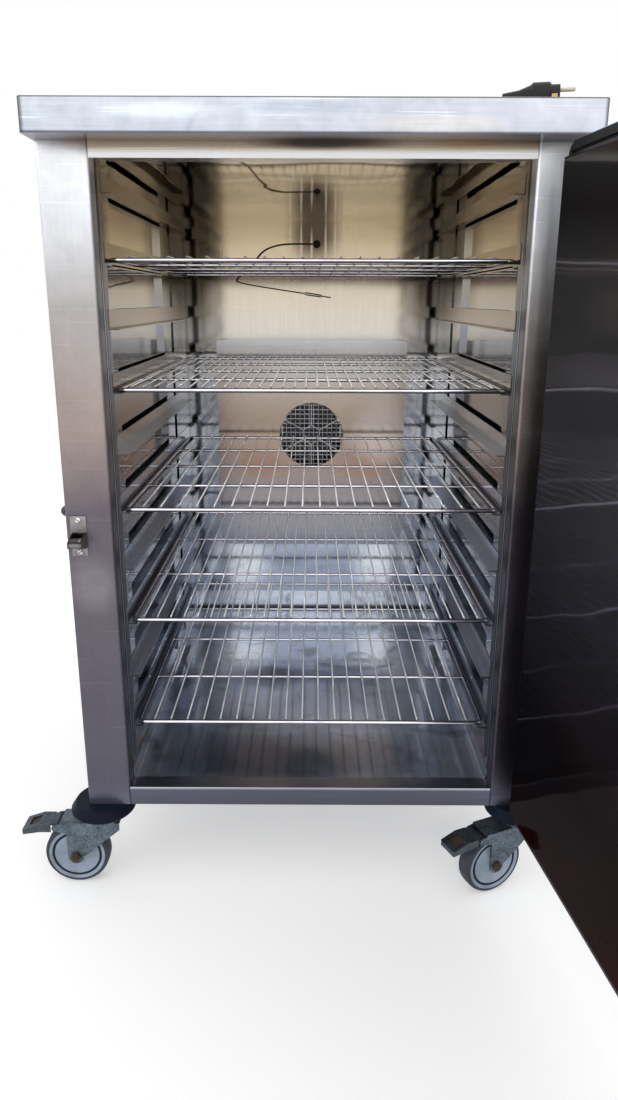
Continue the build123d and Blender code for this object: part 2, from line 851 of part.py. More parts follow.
# Cord gland: a nut on the cover's side and a tapered sleeve
gland_x = cover_w / 2
gland_y = body_d + cover_d / 2
gland_z = cover_high - gland_drop
gland_tip = gland_x + gland_len
with BuildPart() as cord_gland:
    with BuildSketch(Plane.YZ.offset(gland_x)):
        with Locations((gland_y, gland_z)):
            RegularPolygon(gland_r, 6)
    extrude(amount=gland_nut)
    with BuildSketch(Plane.YZ.offset(gland_x + gland_nut)):
        with Locations((gland_y, gland_z)):
            Circle(gland_r - bezel_wall)
    with BuildSketch(Plane.YZ.offset(gland_x + gland_len)):
        with Locations((gland_y, gland_z)):
            Circle(gland_tip_r)
    loft()
pieces["cord_gland"] = cord_gland.part

# Bumper discs, bolted under the four corners, each bored for a caster's kingpin
bumper_z = base_z - bumper_h
corner_x = half_w - caster_in
corner_y = {"front": caster_in, "rear": body_d - caster_in}
corners = {
    side_name + "_" + end_name: (side * corner_x, corner_y[end_name])
    for end_name in ("front", "rear")
    for side_name, side in (("left", -1), ("right", 1))
}
with BuildPart() as bumpers:
    for bumper_x, bumper_y in corners.values():
        with BuildSketch(facing(bumper_y)):
            with BuildLine():
                Polyline(
                    (bumper_x + kingpin_r + shaft_play, bumper_z),
                    (bumper_x + bumper_r - bumper_rim / 2, bumper_z),
                    (bumper_x + bumper_r, bumper_z + bumper_rim / 2),
                    (bumper_x + bumper_r, bumper_z + bumper_rim),
                    (bumper_x + bumper_top_r, base_z),
                    (bumper_x + kingpin_r + shaft_play, base_z),
                    close=True,
                )
            make_face()
        revolve(axis=Axis((bumper_x, bumper_y, 0), (0, 0, 1)))
pieces["bumpers"] = bumpers.part


# Caster fork: pressed legs below a round swivel head, with the axle bolt through their feet. It is built with
# the swivel axis at the origin and the wheel trailing along +X.
head_top = bumper_z - swivel_play
crown_z = head_top - fork_head_h
leg_in = wheel_w / 2 + fork_gap
leg_out = leg_in + fork_sheet
axle_half = leg_out + axle_head_h
pedal_u = trail + pedal_out
pedal_z = 2 * wheel_rad + pedal_rise


def caster_fork(braked):
    with BuildPart() as fork:
        with BuildSketch(Plane.XY.offset(crown_z)):
            Circle(fork_head_r)
        extrude(amount=fork_head_h)
        chamfer(fork.faces().sort_by(Axis.Z)[-1].edges(), crown_h)
        with BuildSketch(Plane.XY.offset(head_top)):
            Circle(kingpin_r)
        extrude(amount=bumper_h)
        crown_front = pedal_u - pedal_sleeve_r - pedal_gap if braked else trail + fork_foot_r
        span_box(-crown_back, crown_front, -leg_out, leg_out, crown_z - crown_h, crown_z)
        for leg_y in (-leg_out, leg_in):
            with BuildSketch(Plane.XZ.offset(-leg_y)):
                with BuildLine():
                    Polyline(
                        (-crown_back, crown_z),
                        (-crown_back, crown_z - fork_foot_r),
                        (trail - fork_foot_r, wheel_rad),
                        (trail + fork_foot_r, wheel_rad),
                        (trail + fork_foot_r, crown_z),
                        close=True,
                    )
                make_face()
                with Locations((trail, wheel_rad)):
                    Circle(fork_foot_r)
                if braked:
                    with BuildLine():
                        Polyline(
                            (trail, crown_z),
                            (trail, pedal_z - pedal_sleeve_r * 2),
                            (pedal_u, pedal_z - pedal_sleeve_r),
                            (pedal_u, pedal_z + pedal_sleeve_r),
                            close=True,
                        )
                    make_face()
                    with Locations((pedal_u, pedal_z)):
                        Circle(pedal_sleeve_r)
            extrude(amount=-fork_sheet)
        with BuildSketch(Plane.XZ.offset(-axle_half)):
            with Locations((trail, wheel_rad)):
                Circle(axle_r)
        extrude(amount=2 * axle_half)
        for head_y in (-axle_half, leg_out):
            with BuildSketch(Plane.XZ.offset(-head_y)):
                with Locations((trail, wheel_rad)):
                    RegularPolygon(axle_head_r, 6)
            extrude(amount=-axle_head_h)
        if braked:
            with BuildSketch(Plane.XZ.offset(-leg_out)):
                with Locations((pedal_u, pedal_z)):
                    Circle(pedal_pin_r)
            extrude(amount=2 * leg_out)
    return fork.part


# Wheel: a dished hub with a ring groove on each face, and a tread with broken edges
hub_half = leg_in - hub_side


def caster_wheel():
    half_profile = [
        (axle_r + axle_play, hub_half),
        (hub_boss_r, hub_half),
        (hub_groove_r - hub_groove, hub_w / 2),
        (hub_groove_r, hub_w / 2 - hub_groove),
        (hub_groove_r + hub_groove, hub_w / 2),
        (wheel_rad - tread_edge, wheel_w / 2),
        (wheel_rad, wheel_w / 2 - tread_edge),
    ]
    other_half = [(reach, -side) for reach, side in reversed(half_profile)]
    with BuildPart() as wheel:
        with BuildSketch(Plane.XY):
            with BuildLine():
                Polyline(*half_profile, *other_half, close=True)
            make_face()
        revolve(axis=Axis.Y)
    return wheel.part.moved(Location((trail, 0, wheel_rad)))


# Brake pedal: a bent, slotted channel rolled round a pin between the legs, with a shoe for the tyre
pedal_top = pedal_z + pedal_sleeve_r
pedal_root = pedal_u + pedal_sleeve_r + pedal_gap
pedal_knee = pedal_u + pedal_len / 2
pedal_tip = pedal_u + pedal_len
sleeve_half = leg_in - hub_side
shoe_way = Vector(trail - pedal_u, 0, wheel_rad - pedal_z)
shoe_reach = shoe_way.length - wheel_rad - brake_gap
shoe_along = shoe_way.normalized() * shoe_reach
shoe_across = Vector(-shoe_way.Z, 0, shoe_way.X).normalized() * shoe_half


def brake_pedal():
    with BuildPart() as pedal:
        with BuildSketch(facing(pedal_w / 2)):
            with BuildLine():
                Polyline(
                    (pedal_root, pedal_top),
                    (pedal_knee, pedal_top),
                    (pedal_tip, pedal_top - pedal_drop),
                    (pedal_tip, pedal_top - pedal_drop - pedal_lip),
                    (pedal_knee, pedal_top - pedal_skirt),
                    (pedal_root, pedal_top - pedal_skirt),
                    close=True,
                )
            make_face()
        extrude(amount=pedal_w)
        fillet(pedal.faces().sort_by(Axis.X)[-1].edges().filter_by(Axis.Z), pedal_sheet)
        with BuildSketch(facing(pedal_w / 2 - pedal_sheet)):
            with BuildLine():
                Polyline(
                    (pedal_root, pedal_top - pedal_sheet),
                    (pedal_knee - pedal_sheet / 2, pedal_top - pedal_sheet),
                    (pedal_tip - pedal_sheet, pedal_top - pedal_drop - pedal_sheet),
                    (pedal_tip - pedal_sheet, pedal_top - pedal_drop - 2 * pedal_lip),
                    (pedal_root, pedal_top - pedal_drop - 2 * pedal_lip),
                    close=True,
                )
            make_face()
        extrude(amount=pedal_w - 2 * pedal_sheet, mode=Mode.SUBTRACT)
        with BuildSketch(Plane.XY.offset(pedal_top)):
            with Locations((pedal_u + pedal_len * 2 / 3, 0)):
                RectangleRounded(pedal_slot_l, pedal_slot_w, pedal_sheet)
        extrude(amount=-pedal_skirt - pedal_drop, mode=Mode.SUBTRACT)
        span_box(pedal_u, pedal_root, -sleeve_half, sleeve_half, pedal_top - pedal_sheet, pedal_top)
        with BuildSketch(facing(sleeve_half)):
            with Locations((pedal_u, pedal_z)):
                Circle(pedal_sleeve_r)
            with BuildLine():
                Polyline(
                    (pedal_u + shoe_across.X, pedal_z + shoe_across.Z),
                    (pedal_u + shoe_across.X + shoe_along.X, pedal_z + shoe_across.Z + shoe_along.Z),
                    (pedal_u - shoe_across.X + shoe_along.X, pedal_z - shoe_across.Z + shoe_along.Z),
                    (pedal_u - shoe_across.X, pedal_z - shoe_across.Z),
                    close=True,
                )
            make_face()
        extrude(amount=2 * sleeve_half)
        with BuildSketch(facing(sleeve_half)):
            with Locations((pedal_u, pedal_z)):
                Circle(pedal_pin_r + shaft_play)
        extrude(amount=2 * sleeve_half, mode=Mode.SUBTRACT)
    return pedal.part


for corner, (bumper_x, bumper_y) in corners.items():
    braked = corner.endswith("front")
    place = Location((bumper_x, bumper_y, 0), (0, 0, caster_turn[corner]))
    pieces["fork_" + corner] = caster_fork(braked).moved(place)
    pieces["wheel_" + corner] = caster_wheel().moved(place)
    if braked:
        pieces["pedal_" + corner] = brake_pedal().moved(place)

# Strike: a plate screwed to the left post, with two ears and the pin that the roller turns on
ear_gap = roller_len / 2 + roller_side
with BuildPart() as strike:
    span_box(
        strike_x - strike_w / 2,
        strike_x + strike_w / 2,
        -strike_sheet,
        0,
        roller_z - strike_down,
        roller_z + strike_up,
    )
    for ear_x in (strike_x - ear_gap - strike_ear, strike_x + ear_gap):
        with BuildSketch(Plane.YZ.offset(ear_x)):
            with BuildLine():
                Polyline(
                    (0, roller_z - ear_root / 2),
                    (0, roller_z + ear_root / 2),
                    (-strike_off, roller_z + ear_r),
                    (-strike_off, roller_z - ear_r),
                    close=True,
                )
            make_face()
            with Locations((-strike_off, roller_z)):
                Circle(ear_r)
        extrude(amount=strike_ear)
    with BuildSketch(Plane.YZ.offset(strike_x - ear_gap)):
        with Locations((-strike_off, roller_z)):
            Circle(roller_pin_r)
    extrude(amount=2 * ear_gap)
pieces["strike"] = strike.part

with BuildPart() as strike_roller:
    with BuildSketch(Plane.YZ.offset(strike_x - roller_len / 2)):
        with Locations((-strike_off, roller_z)):
            Circle(roller_r)
            Circle(roller_pin_r + roller_play, mode=Mode.SUBTRACT)
    extrude(amount=roller_len)
pieces["strike_roller"] = strike_roller.part

# Push handle: a bent bar on two round feet
handle_x = -half_w - handle_out
handle_z = door_mid_z - handle_drop
handle_ends = [(handle_y, handle_z), (handle_y + handle_len, handle_z)]
with BuildPart() as push_handle:
    with BuildLine() as handle_line:
        FilletPolyline(
            (-half_w, handle_y, handle_z),
            (handle_x, handle_y, handle_z),
            (handle_x, handle_y + handle_len, handle_z),
            (-half_w, handle_y + handle_len, handle_z),
            radius=handle_bend,
        )
    with BuildSketch(Plane.YZ.offset(-half_w)):
        with Locations(handle_ends[0]):
            Circle(handle_r)
    sweep(path=handle_line.wires()[0])
    with BuildSketch(Plane.YZ.offset(-half_w)):
        with Locations(*handle_ends):
            Circle(handle_foot_r)
    extrude(amount=-handle_foot)
pieces["push_handle"] = push_handle.part

# Door, built closed and then swung open about its hinge line
hinge_axis = Axis((pivot_x, pivot_y, 0), (0, 0, 1))
with BuildPart() as door_skin:
    with BuildSketch(facing(door_face_y)):
        with Locations((0, door_mid_z)):
            Rectangle(door_w, door_h)
    extrude(amount=-door_t)
    fillet(door_skin.faces().sort_by(Axis.Y)[0].edges(), door_edge)
    with BuildSketch(facing(door_face_y + door_sheet)):
        with Locations((0, door_mid_z)):
            Rectangle(door_w - 2 * door_sheet, door_h - 2 * door_sheet)
    extrude(amount=-(door_t - 2 * door_sheet), mode=Mode.SUBTRACT)
    with BuildSketch(facing(-door_back - door_sheet)):
        with Locations((0, door_pan_mid_z)):
            Rectangle(door_pan_w - 2 * door_pan_sheet, door_pan_h - 2 * door_pan_sheet)
    extrude(amount=-door_sheet, mode=Mode.SUBTRACT)
pieces["door_skin"] = door_skin.part.rotate(hinge_axis, door_open)

with BuildPart() as door_pan:
    with BuildSketch(facing(-door_back)):
        with Locations((0, door_pan_mid_z)):
            Rectangle(door_pan_w, door_pan_h)
    extrude(amount=-door_back - door_pan_in)
    fillet(door_pan.faces().sort_by(Axis.Y)[-1].edges(), door_pan_round)
    offset(amount=-door_pan_sheet, openings=door_pan.faces().sort_by(Axis.Y)[0])
pieces["door_pan"] = door_pan.part.rotate(hinge_axis, door_open)

with BuildPart() as door_core:
    span_box(
        -door_half + door_sheet,
        door_half - door_sheet,
        door_face_y + door_sheet,
        -door_back - door_sheet,
        door_low + door_sheet,
        door_high - door_sheet,
    )
    span_box(
        -door_pan_w / 2 + door_pan_round,
        door_pan_w / 2 - door_pan_round,
        -door_back - door_sheet,
        door_pan_in - door_pan_sheet,
        door_pan_low + door_pan_round,
        door_pan_high - door_pan_round,
    )
pieces["door_core"] = door_core.part.rotate(hinge_axis, door_open)

# Door gasket: a rubber frame with a narrower lip that meets the posts
gasket_steps = [
    (gasket_in, gasket_w, gasket_h - gasket_lip),
    (gasket_in + gasket_lip, gasket_w - 2 * gasket_lip, gasket_h),
]
with BuildPart() as door_gasket:
    for edge_in, band, height in gasket_steps:
        with BuildSketch(facing(-door_back)):
            with Locations((0, door_mid_z)):
                RectangleRounded(door_w - 2 * edge_in, door_h - 2 * edge_in, gasket_w)
                Rectangle(door_w - 2 * (edge_in + band), door_h - 2 * (edge_in + band), mode=Mode.SUBTRACT)
        extrude(amount=-height)
pieces["door_gasket"] = door_gasket.part.rotate(hinge_axis, door_open)

# Hinges: the lower knuckle, its pin and its leaf stay on the right post, the upper knuckle goes with the door
hinge_levels = (door_low + hinge_inset, door_high - hinge_inset)
leaf_x = pivot_x + hinge_web_in
leaf_end = half_w - hinge_leaf_edge
knuckle_h = barrel_half - barrel_gap / 2
with BuildPart() as hinge_leaves:
    for hinge_z in hinge_levels:
        with BuildSketch(Plane.XY.offset(hinge_z - barrel_half)):
            with Locations((pivot_x, pivot_y)):
                Circle(barrel_r)
            with BuildLine():
                Polyline(
                    (leaf_x, pivot_y),
                    (leaf_x + hinge_web, pivot_y),
                    (leaf_x + hinge_web, -hinge_leaf_t),
                    (leaf_end, -hinge_leaf_t),
                    (leaf_end, 0),
                    (leaf_x, 0),
                    close=True,
                )
            make_face()
        extrude(amount=knuckle_h)
        with BuildSketch(Plane.XY.offset(hinge_z - barrel_half)):
            with Locations((pivot_x, pivot_y)):
                Circle(pin_r)
        extrude(amount=barrel_half + pin_len)
pieces["hinge_leaves"] = hinge_leaves.part

with BuildPart() as door_hinges:
    for hinge_z in hinge_levels:
        with BuildSketch(Plane.XY.offset(hinge_z + barrel_gap / 2)):
            with BuildLine():
                Polyline(
                    (pivot_x - hinge_arm / 2, pivot_y),
                    (pivot_x - hinge_arm / 2, door_face_y),
                    (pivot_x - strap_len, door_face_y),
                    (pivot_x - strap_len, door_face_y - strap_t),
                    (pivot_x + hinge_arm / 2, door_face_y - strap_t),
                    (pivot_x + hinge_arm / 2, pivot_y),
                    close=True,
                )
            make_face()
            with Locations((pivot_x, pivot_y)):
                Circle(barrel_r)
                Circle(pin_r + pin_play, mode=Mode.SUBTRACT)
        extrude(amount=knuckle_h)
pieces["door_hinges"] = door_hinges.part.rotate(hinge_axis, door_open)

# Latch: a case on the door's outer face, and a lever on a shaft through it, whose hook takes the roller
shaft_y = door_face_y - latch_off
case_x = -door_half - case_over
with BuildPart() as latch_case:
    with BuildSketch(facing(door_face_y)):
        with Locations((case_x + case_w / 2, latch_z)):
            Rectangle(case_w, case_h)
    extrude(amount=case_d)
    fillet(latch_case.faces().sort_by(Axis.Y)[0].edges(), case_round)
    with BuildSketch(Plane.YZ.offset(case_x)):
        with Locations((shaft_y, latch_z)):
            Circle(latch_shaft_r + latch_play)
    extrude(amount=case_w, mode=Mode.SUBTRACT)
pieces["latch_case"] = latch_case.part.rotate(hinge_axis, door_open)

grip_x = case_x + case_w + grip_gap
hook_x = strike_x - hook_w / 2
hook_under = roller_r + hook_t + hook_slack
hook_back = roller_r + hook_t / 2 + hook_slack / 3
with BuildPart() as latch_handle:
    with BuildSketch(Plane.YZ.offset(hook_x)):
        with BuildLine():
            FilletPolyline(
                (shaft_y, latch_z),
                (-strike_off - hook_under, roller_z - hook_under),
                (-strike_off + hook_back, roller_z - hook_under),
                (-strike_off + hook_back + hook_slack / 2, roller_z - hook_slack / 2),
                radius=hook_t,
            )
        trace(line_width=hook_t)
        with Locations((shaft_y, latch_z)):
            Circle(hook_t)
    extrude(amount=hook_w)
    with BuildSketch(Plane.YZ.offset(hook_x)):
        with Locations((shaft_y, latch_z)):
            Circle(latch_shaft_r)
    extrude(amount=grip_x + grip_t - hook_x)
    with BuildSketch(Plane.YZ.offset(grip_x)):
        with BuildLine():
            FilletPolyline(
                (shaft_y, latch_z),
                (shaft_y - grip_out / 2, latch_z - grip_len / 3),
                (shaft_y - grip_out, latch_z - grip_len),
                radius=grip_len,
            )
        trace(line_width=grip_w)
        with Locations((shaft_y, latch_z), (shaft_y - grip_out, latch_z - grip_len)):
            Circle(grip_w / 2)
    extrude(amount=grip_t)
latch_axis = Axis((0, shaft_y, latch_z), (1, 0, 0))
pieces["latch_handle"] = latch_handle.part.rotate(latch_axis, -hook_open).rotate(hinge_axis, door_open)

# Mains cord. The coil lies on the worktop behind the plug: it winds in, climbs a layer and winds out again
coil_x = half_w - coil_side
coil_y = body_d - coil_back
rest_z = top_z + cord_lift + cord_r
coil_z = top_z + cord_lift + tie_t + tie_gap + cord_r
plug_z = top_z + cord_lift + plug_r
climb_mid = climb_from + climb_turns / 2


def coil_place(turn):
    # Where the coil's centre line is after so many turns, and which way it runs there
    angle = math.pi * (1 + 2 * turn)
    radius = coil_r - coil_pitch * (climb_mid - abs(turn - climb_mid))
    spread = coil_pitch * ((turn > climb_mid) - (turn < climb_mid))
    part_climbed = min(max((turn - climb_from) / climb_turns, 0), 1)
    height = coil_pitch * part_climbed**2 * (3 - 2 * part_climbed)
    rise = coil_pitch * 6 * part_climbed * (1 - part_climbed) / climb_turns
    point = Vector(coil_x + radius * math.cos(angle), coil_y + radius * math.sin(angle), coil_z + height)
    way = Vector(
        spread * math.cos(angle) - 2 * math.pi * radius * math.sin(angle),
        spread * math.sin(angle) + 2 * math.pi * radius * math.cos(angle),
        rise,
    )
    return point, way.normalized()


def biarc(start, start_way, end, end_way):
    # Two arcs that leave and arrive along the given ways, joined where they are tangent
    chord = end - start
    spread = 2 * (1 - start_way.dot(end_way))
    along = chord.dot(start_way + end_way)
    reach = (math.sqrt(along**2 + spread * chord.dot(chord)) - along) / spread
    middle = (start + end + (start_way - end_way) * reach) / 2
    TangentArc(start, middle, tangent=start_way)
    TangentArc(middle, end, tangent=end - end_way * reach - start - start_way * reach)


coil_first, coil_in_way = coil_place(0)
coil_last, coil_out_way = coil_place(coil_turn_count)
coil_start = coil_first - coil_in_way * 2 * cord_r
coil_end = coil_last + coil_out_way * 2 * cord_r
with BuildPart() as cord_coil:
    with BuildLine() as coil_line:
        Line(coil_start, coil_first)
        for quarter in range(4 * coil_turn_count):
            biarc(*coil_place(quarter / 4), *coil_place((quarter + 1) / 4))
        Line(coil_last, coil_end)
    with BuildSketch(Plane(origin=coil_start, z_dir=coil_in_way)) as coil_section:
        RegularPolygon(cord_r, cord_side_count)
    sweep(path=coil_line.wires()[0])
pieces["cord_coil"] = cord_coil.part


def cord_stretch(name, points):
    # A tube along straight runs with the largest arcs that fit between them
    runs = [after - before for before, after in zip(points, points[1:])]
    bends = []
    for before, after in zip(runs, runs[1:]):
        half_turn = math.radians(before.get_angle(after)) / 2
        bends.append(cord_run_share * min(before.length, after.length) / math.tan(half_turn))
    with BuildPart() as stretch:
        with BuildLine() as stretch_line:
            FilletPolyline(*points, radius=bends)
        with BuildSketch(Plane(origin=points[0], z_dir=runs[0])) as stretch_section:
            RegularPolygon(cord_r, cord_side_count)
        sweep(path=stretch_line.wires()[0])
    length = stretch_line.wires()[0].length
    print(name, "length", round(length, 1), "radii", [round(bend) for bend in bends])
    section = stretch_section.sketch.area
    print(name, "volume over section times length", round(stretch.part.volume / section / length, 4))
    pieces[name] = stretch.part
    return length


# Riser: from the gland up behind the back, over the worktop's rear edge and forward to the coil
rear_y = body_d + top_over_rear
riser_x = gland_tip + cord_side
over_z = top_z + cord_hump
lay_x = riser_x - cord_run / 2
riser_points = [
    Vector(gland_tip, gland_y, gland_z),
    Vector(gland_tip + cord_run, gland_y, gland_z),
    Vector(riser_x - cord_run / 4, gland_y, gland_z + cord_run / 2),
    Vector(riser_x, gland_y, gland_z + cord_run * 3 / 2),
    Vector(riser_x - cord_r / 2, rear_y + cord_run / 2, (gland_z + top_z + cord_run) / 2),
    Vector(riser_x - cord_r, rear_y + cord_run / 2, top_z - cord_r),
    Vector(riser_x - 2 * cord_r, rear_y - cord_run / 4, over_z),
    Vector(riser_x - 3 * cord_r, rear_y - cord_run * 5 / 4, over_z),
    Vector(riser_x - 4 * cord_r, rear_y - cord_run * 9 / 4, (over_z + rest_z) / 2),
    Vector(lay_x - 2 * cord_r, rear_y - cord_run * 13 / 4, rest_z),
]
last_turn = coil_start - coil_in_way * cord_run
laid = riser_points[-1]
lay_count = lay_half_count * 2 + 1
for step in range(1, lay_count):
    part_way = step / lay_count
    sideways = part_way**2 * (3 - 2 * part_way)
    riser_points.append(
        Vector(
            laid.X + (last_turn.X - laid.X) * sideways,
            laid.Y + (last_turn.Y - laid.Y) * part_way,
            laid.Z + (last_turn.Z - laid.Z) * part_way,
        )
    )
riser_points += [last_turn, coil_start]
riser_length = cord_stretch("cord_riser", riser_points)

# Lead: down from the coil's upper layer and forward to the plug
plug_x = half_w - plug_side
plug_end = Vector(plug_x, plug_y, plug_z)
plug_way = Vector(math.cos(math.radians(plug_turn)), math.sin(math.radians(plug_turn)), 0)
lead_from = coil_end + coil_out_way * cord_run
lead_to = plug_end - plug_way * cord_run
lead_points = [coil_end, lead_from]
drop_y = lead_from.Y - 2 * cord_run
sag_x = lead_from.X - lead_bow
lead_points += [
    Vector(lead_from.X - lead_bow / 4, lead_from.Y - cord_run, (lead_from.Z + rest_z) / 2),
    Vector(lead_from.X - lead_bow * 3 / 5, drop_y, rest_z),
    Vector(sag_x, (drop_y * 2 + lead_to.Y + cord_run) / 3, rest_z),
    Vector(sag_x + lead_bow / 5, (drop_y + 2 * (lead_to.Y + cord_run)) / 3, rest_z),
    Vector((sag_x + lead_to.X) / 2 - lead_bow / 5, lead_to.Y + cord_run / 2, (rest_z * 3 + plug_z) / 4),
    lead_to,
    plug_end,
]
lead_length = cord_stretch("cord_lead", lead_points)

coil_samples = [
    coil_place(sample / coil_sample_count)[0] for sample in range(coil_turn_count * coil_sample_count + 1)
]
least_gap = min(
    (near - far).length
    for index, near in enumerate(coil_samples)
    for far in coil_samples[index + coil_sample_count // 2 :]
)
coil_length = coil_line.wires()[0].length
print("cord_coil length", round(coil_length, 1), "least gap", round(least_gap - 2 * cord_r, 2))
coil_share = cord_coil.part.volume / coil_section.sketch.area / coil_length
print("cord_coil volume over section times length", round(coil_share, 4))
print("cord length", round(riser_length + coil_length + lead_length, 1))

# Tie: a strap closed round the coil's four tubes
tie_left = coil_x + coil_r - 2 * coil_pitch - cord_r - 3 * tie_gap
tie_right = coil_x + coil_r - coil_pitch / 2 + cord_r + tie_gap
tie_low = coil_z - cord_r - tie_gap
tie_high = coil_z + coil_pitch + cord_r + tie_gap
with BuildPart() as cord_tie:
    with BuildSketch(facing(coil_y + tie_w / 2)):
        with Locations(((tie_left + tie_right) / 2, (tie_low + tie_high) / 2)):
            RectangleRounded(tie_right - tie_left + 2 * tie_t, tie_high - tie_low + 2 * tie_t, cord_r)
            RectangleRounded(tie_right - tie_left, tie_high - tie_low, cord_r - tie_t, mode=Mode.SUBTRACT)
    extrude(amount=tie_w)
pieces["cord_tie"] = cord_tie.part

# Plug: a round moulded body with a tapered neck, two pins and the earth contacts on its sides
with BuildPart() as plug:
    with BuildSketch(Plane.XY):
        with BuildLine():
            Polyline(
                (0, 0),
                (0, plug_neck_r),
                (plug_neck, plug_neck_r + plug_step),
                (plug_shoulder, plug_r - plug_step),
                (plug_shoulder + plug_step, plug_r),
                (plug_len - plug_nose - plug_step, plug_r),
                (plug_len - plug_nose, plug_r - plug_step),
                (plug_len, plug_r - plug_step),
                (plug_len, 0),
                close=True,
            )
        make_face()
    revolve(axis=Axis.X)
    with BuildSketch(Plane.YZ.offset(plug_len)):
        with GridLocations(0, 2 * plug_pin_half, 1, 2):
            Circle(plug_pin_r)
    extrude(amount=plug_pin_len)
    chamfer(plug.faces().filter_by(Plane.YZ).sort_by(Axis.X)[-2:].edges(), plug_pin_r / 2)
    for contact in (-1, 1):
        span_box(
            plug_len - plug_nose,
            plug_len - plug_step,
            min(contact * plug_pin_half, contact * (plug_r - plug_step / 2)),
            max(contact * plug_pin_half, contact * (plug_r - plug_step / 2)),
            -plug_pin_r,
            plug_pin_r,
        )
pieces["plug"] = plug.part.moved(Location((plug_x, plug_y, plug_z), (0, 0, plug_turn)))

# Written with the rigid pieces centred over the origin and standing on it
cord_names = ("cord_riser", "cord_coil", "cord_lead", "cord_tie", "plug")
boxes = [piece.bounding_box() for name, piece in pieces.items() if name not in cord_names]
shift = Vector(
    -(min(box.min.X for box in boxes) + max(box.max.X for box in boxes)) / 2,
    -(min(box.min.Y for box in boxes) + max(box.max.Y for box in boxes)) / 2,
    -min(box.min.Z for box in boxes),
)
print("shift", round(shift.X, 4), round(shift.Y, 4), round(shift.Z, 4))
os.makedirs("parts", exist_ok=True)
for name, piece in pieces.items():
    placed = piece.moved(Location(shift))
    placed.label = name
    export_step(placed, "parts/" + name + ".step")
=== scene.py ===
import json
import math

import bmesh
import bpy
from mathutils import Matrix, Vector


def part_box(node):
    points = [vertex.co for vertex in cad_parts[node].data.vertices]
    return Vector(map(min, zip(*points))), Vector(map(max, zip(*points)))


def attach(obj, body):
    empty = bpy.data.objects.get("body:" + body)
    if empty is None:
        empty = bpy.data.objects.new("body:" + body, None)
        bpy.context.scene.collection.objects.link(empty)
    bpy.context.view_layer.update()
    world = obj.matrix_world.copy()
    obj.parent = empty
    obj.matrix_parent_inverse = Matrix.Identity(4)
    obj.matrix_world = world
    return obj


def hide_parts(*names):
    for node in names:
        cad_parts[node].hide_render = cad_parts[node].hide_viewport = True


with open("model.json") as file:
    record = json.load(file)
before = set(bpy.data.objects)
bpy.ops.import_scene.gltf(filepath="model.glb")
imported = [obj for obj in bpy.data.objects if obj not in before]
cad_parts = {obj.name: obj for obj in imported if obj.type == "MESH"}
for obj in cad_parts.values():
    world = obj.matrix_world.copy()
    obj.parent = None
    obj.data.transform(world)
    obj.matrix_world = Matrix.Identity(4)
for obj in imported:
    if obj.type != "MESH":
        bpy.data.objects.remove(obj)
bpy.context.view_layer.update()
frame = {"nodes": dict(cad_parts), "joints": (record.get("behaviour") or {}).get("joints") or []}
solids = frame["nodes"]
scene = bpy.context.scene
scene.view_settings.view_transform = "Standard"

# Camera: it stands just over a metre in front of the open cabinet, lower than the worktop, and looks a little
# down. Its place, turn and lens were fitted to the corners of the frame, the shelf fronts and the casters.
stand = Vector((-0.031054, -1.237811, 0.8872))
yaw, pitch, roll = 0.0016, -0.2921, 0.0037
ahead = Vector((-math.sin(yaw) * math.cos(pitch), math.cos(yaw) * math.cos(pitch), math.sin(pitch)))
level = Vector((math.cos(yaw), math.sin(yaw), 0))
above = level.cross(ahead)
across = level * math.cos(roll) + above * math.sin(roll)
upward = above * math.cos(roll) - level * math.sin(roll)
eye = bpy.data.objects.new("camera", bpy.data.cameras.new("camera"))
eye.data.lens = 27.12
eye.data.sensor_width = 36.0
eye.matrix_world = Matrix.Translation(stand) @ Matrix((across, upward, -ahead)).transposed().to_4x4()
scene.collection.objects.link(eye)
scene.camera = eye


# Studio: a white surround that metal reflects too, large soft lamps on both sides, in front and above, and
# a narrow one that reaches into the open chamber and that steel doesn't mirror. A pale floor under the wheels
# takes the cabinet's shadow.
def add_node(tree, kind, inputs, **settings):
    made = tree.nodes.new("ShaderNode" + kind)
    for setting, value in settings.items():
        setattr(made, setting, value)
    for socket, value in inputs.items():
        if isinstance(value, bpy.types.NodeSocket):
            tree.links.new(value, made.inputs[socket])
        else:
            made.inputs[socket].default_value = value
    return made


def seen_directly(tree):
    path = add_node(tree, "LightPath", {}).outputs
    rays = {0: path["Is Camera Ray"], 1: path["Is Glossy Ray"]}
    unbroken = add_node(tree, "Math", rays, operation="MAXIMUM").outputs[0]
    all_rays = {0: unbroken, 1: path["Is Transmission Ray"]}
    return add_node(tree, "Math", all_rays, operation="MAXIMUM").outputs[0]


surround = bpy.data.worlds.new("surround")
scene.world = surround
surround.use_nodes = True
tree = surround.node_tree
tree.nodes.clear()
glow = add_node(tree, "Background", {"Color": (1, 1, 1, 1), "Strength": 0.78})
white = add_node(tree, "Background", {"Color": (1, 1, 1, 1), "Strength": 1.0})
either = add_node(tree, "MixShader", {0: seen_directly(tree), 1: glow.outputs[0], 2: white.outputs[0]})
add_node(tree, "OutputWorld", {"Surface": either.outputs[0]})

